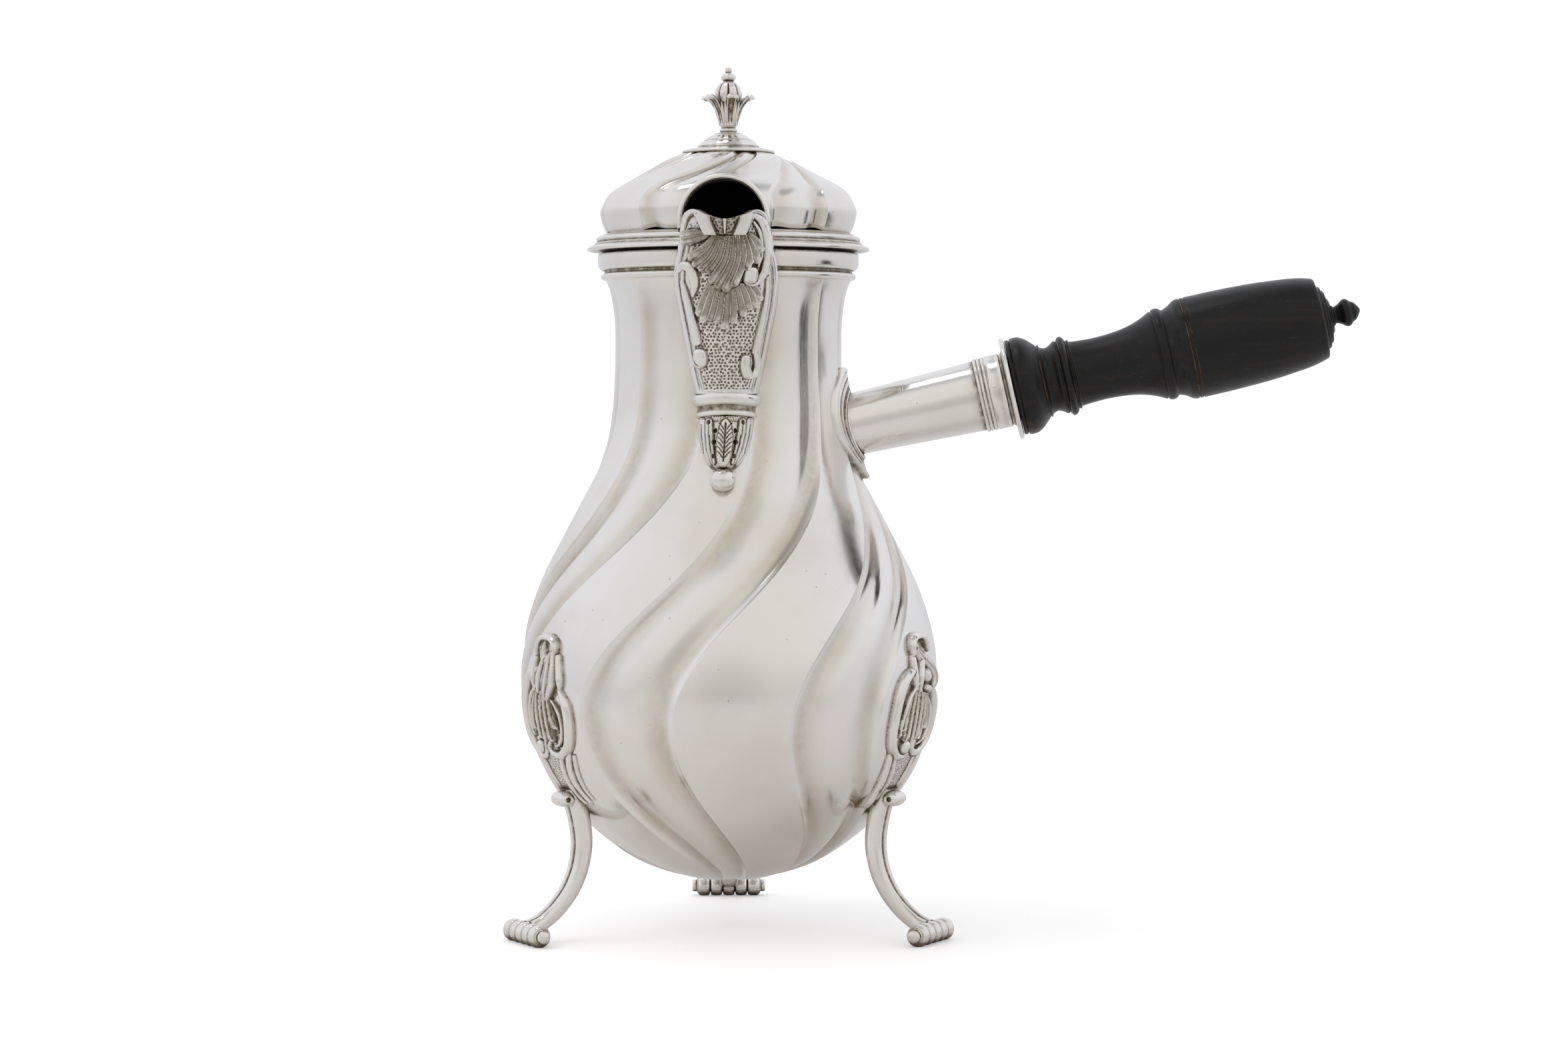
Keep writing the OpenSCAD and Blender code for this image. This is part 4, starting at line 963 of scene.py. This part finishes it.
def make_toe(name, azimuth):
    discs, pitch = 5, 4.3
    half = discs * pitch / 2
    outline = [[0.02, -half - 1.9], [1.7, -half - 1.9], [2.05, -half - 1.6], [2.1, -half - 0.9],
        [2.0, -half - 0.35], [2.5, -half - 0.2]]
    for k in range(discs):
        middle = -half + (k + 0.5) * pitch
        outline += [[TOE_R - 1.1 + 1.1 * math.cos(a) ** 0.75, middle + 0.47 * pitch * math.sin(a)]
            for a in np.radians(np.linspace(-86, 86, 13))]
        outline.append([TOE_R - 1.5, middle + pitch / 2])
    outline[-1] = [2.5, half + 0.2]
    outline += [[2.0, half + 0.35], [2.1, half + 0.9], [2.05, half + 1.6], [1.7, half + 1.9],
        [0.02, half + 1.9]]

    def place(q):
        z = np.maximum(TOE_R - 0.2 + q[..., 0], 0.0)
        return turn_z(np.stack([q[..., 2], -TOE_U + q[..., 1], z], axis=-1), azimuth)

    piece(name + "_ribbed_toe", lathe(outline, 48, loop=False, place=place), cast, name + "_toe_roll",
        (5, 0.12))


def make_cartouche(name, azimuth):
    """The cast cartouche of a leg: a hooded leaf over a fluted fan, with a scroll on each side."""
    def surface(s, z, lift):
        r = body_r(z)
        return turn_z(at(np.degrees(s / r), r + lift, z), azimuth)

    s = np.linspace(-17, 17, 170)[None, :]
    z = np.linspace(42.5, 98.5, 280)[:, None] + 0 * s
    work = Relief(s, z, -0.6)
    # A stippled tongue hangs between smooth ridges that run down to the knee.
    work.stroke([[0.3, 62], [0.4, 55], [-0.4, 46]], [5.5, 4.6, 3.6], [0.95, 0.95, 0.9], power=0.12)
    tongue = work.h > 0.3
    dots = stipple(s + 0 * z, z, 0.95, 0.25)
    work.h -= 0.25 * dots * tongue
    work.stroke([[-9.3, 60], [-8.4, 54.1], [-7.6, 49.1], [-7.4, 44.4], [-7, 42.6]],
        [1.4, 1.7, 1.9, 2, 1.6], [1.3, 1.6, 1.8, 1.8, 1.2], power=0.45)
    work.stroke([[-6.4, 59], [-4.7, 54.1], [-3.6, 49.5], [-3.9, 45.5]], [0.7, 0.8, 0.9, 0.8],
        [1.4, 1.6, 1.5, 1])
    work.stroke([[6.1, 59.5], [4.6, 54.1], [3.9, 48.6], [5.8, 44.4]], [0.9, 1, 1.1, 1],
        [1.4, 1.7, 1.7, 1.2])
    work.stroke([[10.8, 61], [8.6, 55.8], [7.6, 49.9], [9, 44.9]], [1.3, 1.3, 1.4, 1.1],
        [1.5, 1.8, 1.8, 1.2])
    work.stroke([[12.9, 60], [11.4, 54.5], [10.6, 49.5], [11.6, 46]], [0.8, 0.8, 0.8, 0.6],
        [1, 1.2, 1.1, 0.8])
    # The fan, whose flutes end in pierced hollows behind the scrolls.
    work.flutes([[[-4.3, 79], [-7, 73], [-7.2, 67.5]], [[-2.5, 79.5], [-4.2, 73], [-4.4, 65.5]],
        [[-0.4, 79.8], [-1.4, 73], [-1.2, 62.5]], [[1.9, 79.5], [1.5, 72.5], [1.4, 63]],
        [[4.1, 78.5], [4.3, 72], [4.6, 65.5]], [[6.2, 77.5], [7.1, 72.5], [8.2, 68.5]]], [1.1, 1.6, 1.6],
        [1.6, 1.7, 1.8], dip=0.5, ridge=0.35)
    for hole, r in (([-5.9, 66.6], 1.0), ([-2.8, 64], 0.8), ([3, 63.6], 0.9), ([7.2, 67.2], 1.3)):
        work.carve([hole, [hole[0] + 0.2, hole[1] - 0.5]], [r, r], 2.6)
    # The scroll on the right is a J, and the one on the left a C.
    work.stroke([[11.4, 81.2], [12.9, 79.2], [14.5, 75.8], [14.7, 71], [13.5, 65.9], [11.3, 62.4],
        [7, 60], [3.2, 60.3], [1.3, 62.2], [2.3, 63.8]], [0.9, 1.3, 1.9, 2, 1.9, 1.8, 1.6, 1.3, 1, 0.8],
        [1.4, 2, 2.4, 2.5, 2.5, 2.5, 2.4, 2.2, 1.8, 1.5], power=0.55)
    work.stroke([[7.5, 77.5], [10.3, 74.3], [11.4, 71], [10.8, 66.8], [8.6, 63.9], [5.4, 62.6]],
        [0.5, 0.7, 0.8, 0.8, 0.7, 0.5], [1.3, 1.8, 1.9, 1.9, 1.8, 1.5])
    work.stroke([[-1.6, 86.9], [-5, 85.6], [-8.2, 83.2], [-10.4, 79.4], [-11.4, 75.2], [-11.8, 71],
        [-11.6, 66.8], [-10.1, 62.8], [-6.8, 59.8], [-3.2, 59.2], [-1.2, 60.8], [-1.4, 63]], [1.2, 1.9,
        2.1, 2.1, 2, 2, 1.9, 1.8, 1.5, 1.2, 1, 0.7], [2, 2.4, 2.5, 2.5, 2.5, 2.5, 2.5, 2.4, 2.3, 2, 1.8,
        1.4], power=0.55)
    work.stroke([[-0.2, 82.4], [-4.7, 79], [-6.9, 74.5], [-8, 70.1], [-7.9, 65.7]],
        [0.6, 0.8, 0.8, 0.8, 0.5], [1.8, 2, 2, 1.9, 1.5])
    work.stroke([[-3.4, 62.4], [-3.3, 61.8]], [2.2, 2.2], [2.9, 2.9])
    # Leaves hang from a hood over the fan.
    work.stroke([[-2.5, 90.5], [-2.6, 84.5], [-1.6, 80.4]], [1, 1.4, 0.5], [2.2, 2.7, 2])
    work.stroke([[3.3, 91], [1, 84.5], [0.4, 79.8]], [1, 1.6, 0.5], [2.4, 2.8, 2])
    if name == "front_right":
        work.stroke([[0.9, 92.5], [4.5, 89.8], [9.6, 86.8], [12, 83.6], [11.2, 80.9], [8.2, 79.4]],
            [1.3, 2.2, 2.2, 1.5, 1.2, 0.8], [2.4, 3, 3.2, 3, 2.6, 2], stripes=0.14)
        work.stroke([[4.6, 85.2], [5.2, 84.2]], [2.1, 2.1], [3.2, 3.2])
        work.stroke([[4.6, 80.9], [6, 80.6]], [1.3, 1.3], [2.9, 2.9])
    else:
        work.stroke([[7.4, 92], [7.4, 88.2], [6.9, 83.6], [5.7, 79.8], [5.3, 77.6]],
            [1.4, 3, 4, 2.4, 0.5], [2.8, 3.2, 3.4, 3, 1.9], power=0.4, stripes=0.16)
        work.stroke([[10.3, 91.5], [12, 84.6], [12.2, 81.4]], [0.9, 1.2, 0.5], [2.2, 2.5, 1.8])
    work.stroke([[1.2, 94.2], [3.2, 91.8]], [3.2, 3.4], [1.7, 2.1], power=0.3, stripes=0.1)
    work.carve([[3.2, 94.4], [3.9, 93.4]], [2.1, 2.1], 1.9)
    work.stroke([[-2.2, 91.6], [-2.1, 94.6], [-0.6, 96.6], [2.4, 97.2], [5.6, 96.8], [7.8, 95],
        [8.4, 92.4]], [0.7, 1.1, 1.3, 1.3, 1.2, 1, 0.7], [2.2, 2.9, 3.1, 3.2, 3.1, 2.9, 2.2])
    mark = np.where(tongue & (work.h < 1.0), 0.18 + 0.7 * dots, 0.0)
    # Where nothing is raised, the sheet lies inside the body's fluted wall.
    hollow = body_hollow(azimuth + np.degrees(s / body_r(z)), z)
    work.h = np.where(work.h < -0.55, -0.4 - hollow, work.h)
    piece(name + "_rocaille", laid_on(surface, work, -0.7 - hollow, mark), stippled, name + "_cartouche",
        (12, 0.08))


for leg_name, leg_azimuth in LEGS.items():
    make_leg(leg_name, leg_azimuth)
    make_toe(leg_name, leg_azimuth)
    make_cartouche(leg_name, leg_azimuth)

# ---- lid -----------------------------------------------------------------------------------

DOME_OUTLINE = curve([[40.2, 226], [41.4, 228.5], [42.3, 232.4], [41.6, 235], [39.3, 238.9],
    [35.9, 241.5], [30.7, 244.1], [25.8, 246.7], [18.5, 250.7], [10, 253.4], [1.7, 254.6]], 9)
ARCH_R, ARCH_Z = 12.9, 228.3


def make_dome():
    z = DOME_OUTLINE[:, 1]
    depth = 2.0 * smoothstep(9, 25, DOME_OUTLINE[:, 0]) * (0.7 + 0.3 * smoothstep(238, 230, z))
    band = np.full(len(z), 30.5)
    outer, cove_shade = fluted_rings(DOME_OUTLINE, dome_turn(z), band, depth, 0, wave=0.05)
    inner = fluted_rings(DOME_OUTLINE, dome_turn(z), band, depth, SHEET, wave=0.05)[0][::-1]
    shell = piece("raised_dome", two_sided(outer, cove_shade, inner, True), raised, "lid_dome", (20, 0.5),
        sharp=70, body="lid")
    opening = [[-ARCH_R, 215], [ARCH_R, 215]] + arc((0, ARCH_Z), ARCH_R, 0, 180, 48)
    cut(shell, extruded(opening, -12, -70, ARCH_TURN))


def make_visor():
    """The thick, rounded edge of the arched opening."""
    turn = np.radians(np.linspace(-10, 190, 90))
    section = [[0, -45.2], [0.25, -45.5], [0.9, -45.55], [1.5, -45.3], [1.75, -44.8]]
    section += [[1.8, -43], [1.8, -38], [1.8, -33.5], [0, -33.5], [0, -40]]
    rows = []
    for a in turn:
        # The visor's roots follow the dome's wall.
        zc = ARCH_Z + (ARCH_R + 1) * math.sin(a)
        wall = float(np.interp(zc, DOME_OUTLINE[::-1, 1][::-1], DOME_OUTLINE[:, 0])) if zc > 226 else 40.2
        x = (ARCH_R + 1) * math.cos(a)
        root = -math.sqrt(max(wall ** 2 - x ** 2, 100)) + 1.6
        ring = []
        for off, y in section:
            deep = y if y < -43.5 else root + (y + 33.5) * (root + 43.5) / 10.0 * 0.9
            ring.append([(ARCH_R + off) * math.cos(a), min(deep, root),
                ARCH_Z + (ARCH_R + off) * math.sin(a)])
        rows.append(ring)
    rings = turn_z(np.array(rows), ARCH_TURN)
    piece("arch_visor", Shape().rings(rings), turned, "lid_visor", (5, 0.12), body="lid")


def make_rim():
    profile = [[36.7, 220.9], [37.6, 220.85], [38.6, 219.9], [40.8, 219.85], [41.3, 220.35],
        [44.2, 220.4]]
    profile += arc((45.3, 220.98), 0.6, -70, 70, 8)
    profile += [[44.9, 221.9], [43.9, 222.3], [43.5, 222.6], [43.2, 223.05], [42.95, 223.1]]
    profile += arc((41.95, 224.1), 1.0, -50, 75, 9)
    profile += [[41.7, 225.25], [41.2, 225.3], [40.9, 225.6], [40.3, 225.95], [36.9, 226], [36.7, 225.5]]
    piece("lid_flange", lathe(profile, 220, wobble=0.03), turned, "lid_rim", (5, 0.10), body="lid")


def make_finial():
    plate = [[1.6, 254.5], [9, 253.7], [13, 252.6], [14.3, 252.1]]
    plate += arc((14.6, 252.62), 0.52, -75, 75, 8)
    plate += [[14.2, 253.2], [12.5, 253.6], [10.6, 253.95], [10.1, 254.2]]
    plate += curve([[9.8, 254.6], [9.1, 255.5], [8.3, 256.2]], 4).tolist() + [[8.05, 256.25],
        [7.95, 256.5], [7.6, 256.65], [7.4, 256.6], [7.2, 256.85]]
    plate += curve([[6.9, 257.15], [5.9, 257.9], [4.9, 258.4]], 4).tolist() + [[4.6, 258.4],
        [4.4, 258.65], [3.6, 258.9], [2.7, 259.2], [1.6, 259.3]]
    piece("finial_flange", lathe(plate, 140, wobble=0.03), turned, "finial_plate", (4, 0.08), body="lid")

    calyx = Shape()
    stem = [[1.6, 258.9], [2.5, 258.9]] + arc((2.1, 259.65), 0.8, -80, 80, 9) + [[2.4, 260.6]]
    stem += curve([[2.7, 261.2], [3.1, 263.4], [3.6, 265.4], [3.9, 267.2], [3.9, 268.2]],
        5).tolist() + [[3.2, 268.6], [1.6, 268.6]]
    calyx.join(lathe(stem, 48))
    # Six spoon-shaped leaves roll outwards into thick rims, with two narrow flutes between them.
    middle = curve([[2.4, 261.2], [2.8, 263.6], [3.5, 266], [4.8, 268.3], [6.3, 269.9], [7.5, 270.5],
        [8.2, 270.3], [8.5, 269.6]], 6)
    t = np.linspace(0, 1, len(middle))[:, None]
    wide = np.interp(t[:, 0], [0, 0.3, 0.55, 0.8, 0.93, 0.98, 1],
        [0.95, 1.2, 1.5, 1.95, 1.85, 1.45, 0.9])[:, None]
    across = np.sin(np.linspace(-1, 1, 21) * np.pi / 2)[None, :]
    tangent = unit(np.gradient(middle, axis=0))
    normal = np.stack([tangent[:, 1], -tangent[:, 0]], axis=-1)
    rim = 0.55 * smoothstep(0.55, 0.95, np.abs(across)) * (0.5 + 0.5 * t)
    thick = 0.42 * np.sqrt(np.maximum(1 - across ** 4, 0.02)) * (0.8 + 0.7 * t)
    thick = thick * (1 - 0.6 * smoothstep(0.95, 1, t))
    for k in range(6):
        azimuth = 10 + 60 * k
        faces = []
        for side in (1, -1):
            p = middle[:, None, :] + normal[:, None, :] * (side * thick + rim)[..., None]
            faces.append(turn_z(np.stack([wide * across, -p[..., 0], p[..., 1]], axis=-1), azimuth))
        calyx.sheet(faces[0], faces[1])
        for lean in (22, 38):
            a, b = at(azimuth + lean, 2.3, 261.5), at(azimuth + lean, 4.6, 268.3)
            up = unit(b - a)
            side = unit(np.cross(up, [0, 0, 1]))
            calyx.blob((a + b) / 2, [side * 0.62, np.cross(side, up) * 0.62, up * 4.0], rows=12, cols=12)
    piece("finial_leaves", calyx, cast, "finial_calyx", (8, 0.035), body="lid")

    rows = curve([[3.2, 267.2], [4, 268.9], [4.45, 270.9], [4.4, 272.2], [3.8, 273.7], [2.7, 274.9],
        [2, 275.4]], 6)
    turn = np.linspace(0, 360, 128, endpoint=False)
    lobes = 8
    notch = np.abs(np.cos(np.radians(turn * lobes / 2))) ** 18
    fade = smoothstep(267.4, 269, rows[:, 1]) * smoothstep(275.3, 274.2, rows[:, 1])
    rings = np.stack([at(turn, r - 0.7 * f * notch, z) for (r, z), f in zip(rows, fade)])
    bud = Shape().rings(rings)
    knops = [[0.02, 275.2], [1.9, 275.2], [2, 275.5],
        [1.6, 275.8]] + arc((1.4, 276.95), 1.05, -66, 66, 10) + [[1.2, 278.3], [0.9, 278.5]]
    knops += arc((0.2, 279.25), 1.0, -50, 60, 8) + [[0.02, 280.2]]
    bud.join(lathe(knops, 48, loop=False))
    piece("finial_gadroon", bud, cast, "finial_bud", (7, 0.035), body="lid")


make_dome()
make_visor()
make_rim()
make_finial()

# The small fittings keep their own meshes and get the fittings' silver.
for node in ("hinge_bracket", "hinge_pin", "socket_pins", "lid_bezel", "lid_hinge_strap", "finial_stud",
        "finial_nut"):
    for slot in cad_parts[node].material_slots:
        slot.material = fitting

# ---- stage ---------------------------------------------------------------------------------

# The floor's own light near the pot, and far off where it meets the backdrop.
FLOOR_GLOW, FAR_GLOW = 0.30, 0.9
# The studio's brightness where the metal sees it: in front of the pot, behind it, below, level and above.
FRONT, BACK, LOW, MIDDLE, HIGH = 0.66, 0.74, 0.93, 1.18, 0.55
# The share of it that is left at the camera's own place, and its brightness to the camera.
CAMERA_DARK, BACKDROP = 0.85, 1.15
WARM, COOL = (1.0, 0.965, 0.93, 1), (0.955, 0.96, 1.0, 1)
FLOOR_REFLECTED = (0.82, 0.79, 0.765, 1)
FLOOR_DARK, FLOOR_PALE = (0.93, 0.93, 0.93, 1), (0.95, 0.95, 0.95, 1)


def make_floor():
    count = 128
    turn = np.linspace(0, 2 * np.pi, count, endpoint=False)
    inner, outer = [[(r * math.cos(a), r * math.sin(a), 0) for a in turn] for r in (0.3, 8.0)]
    ring = [[k, k + count, (k + 1) % count + count, (k + 1) % count] for k in range(count)]
    mesh = bpy.data.meshes.new("floor")
    mesh.from_pydata(inner + outer, [], [list(range(count))] + ring)
    n = Nodes(bpy.data.materials.new("pale_floor"))
    tone = n.ramp(n.noise(n.coords(), 40, 2.0), 0.3, 0.7)
    seen = n.new("LightPath").outputs["Is Camera Ray"]
    away = n.new("VectorMath", {0: n.new("TexCoord").outputs["Object"]},
        operation="LENGTH").outputs["Value"]
    glow = n.times(seen, n.ramp(away, 0.25, 1.1, FLOOR_GLOW, FAR_GLOW))
    colour = n.mix(seen, FLOOR_REFLECTED, n.mix(tone, FLOOR_DARK, FLOOR_PALE))
    shader = n.surface(Base_Color=colour, Roughness=0.6, Emission_Color=(1, 1, 1, 1),
        Emission_Strength=glow)
    # Reflections see the floor fade into the studio's own tone.
    fade = n.times(n.ramp(away, 0.12, 0.75), n.math("SUBTRACT", 1.0, seen))
    clear = n.new("BsdfTransparent").outputs[0]
    through = n.new("MixShader", {0: fade, 1: shader.outputs[0], 2: clear})
    n.set(n.tree.nodes["Material Output"].inputs["Surface"], through.outputs[0])
    mesh.materials.append(n.owner)
    new_object("floor", mesh)


def make_world():
    """A pale studio all round, warmer in front of the pot and cooler behind it."""
    world = bpy.data.worlds.new("studio")
    bpy.context.scene.world = world
    n = Nodes(world)
    way = n.new("SeparateXYZ", {0: n.new("TexCoord").outputs["Generated"]}).outputs

    def step(value, low, high, a, b):
        return n.ramp(value, low, high, a, b, "SMOOTHSTEP")

    front = step(way["Y"], -1.0, 0.25, FRONT, BACK)
    low = step(way["Z"], -0.9, 0.1, LOW, 1.0)
    middle = step(way["Z"], -0.1, 0.35, 1.0, MIDDLE)
    high = step(way["Z"], 0.82, 0.99, 1.0, HIGH)
    # The metal sees the dark of the camera's place as a soft spot.
    off_centre = n.plus(n.times(way["X"], way["X"]), n.times(way["Z"], way["Z"]))
    spot = step(off_centre, 0.0, 0.20, CAMERA_DARK, 1.0)
    dim = n.mix(step(way["Y"], -0.9, -0.6, 0.0, 1.0), spot, 1.0, "FLOAT")
    level = n.times(n.times(n.times(front, low), n.times(middle, high)), dim)
    camera = n.new("LightPath").outputs["Is Camera Ray"]
    background = n.tree.nodes["Background"]
    n.set(background.inputs["Strength"], n.mix(camera, level, BACKDROP, "FLOAT"))
    n.set(background.inputs["Color"], n.mix(step(way["Y"], -0.8, 0.3, 0.0, 1.0), WARM, COOL))


def area_light(name, place, aim, size, watts):
    light = bpy.data.lights.new(name, "AREA")
    light.energy = watts
    light.shape, light.size, light.size_y = "RECTANGLE", size, size
    obj = new_object(name, light)
    obj.location = place
    direction = np.subtract(aim, place)
    yaw = math.atan2(direction[0], direction[1])
    pitch = math.atan2(direction[2], math.hypot(direction[0], direction[1]))
    obj.rotation_euler = (pitch + math.pi / 2, 0, -yaw)
    return obj


CAMERA_PLACE, CAMERA_LENS, CAMERA_PITCH, CAMERA_YAW = (0, -1.15, 0.170), 81.0, 1.88, 0.90


def make_camera():
    camera = bpy.data.cameras.new("camera")
    camera.sensor_width, camera.lens = 36.0, CAMERA_LENS
    camera.clip_start, camera.clip_end = 0.05, 20
    camera.dof.use_dof = False
    obj = new_object("camera", camera)
    obj.location = CAMERA_PLACE
    obj.rotation_euler = (math.pi / 2 - math.radians(CAMERA_PITCH), 0, -math.radians(CAMERA_YAW))
    bpy.context.scene.camera = obj


make_floor()
make_world()
area_light("key", (-1.3, -0.35, 0.9), (0, 0, 0.10), 1.5, 6).visible_glossy = False
area_light("top", (-0.3, 0.1, 1.6), (0, 0, 0.1), 0.5, 1.1)
make_camera()
bpy.context.scene.view_settings.view_transform = "Standard"
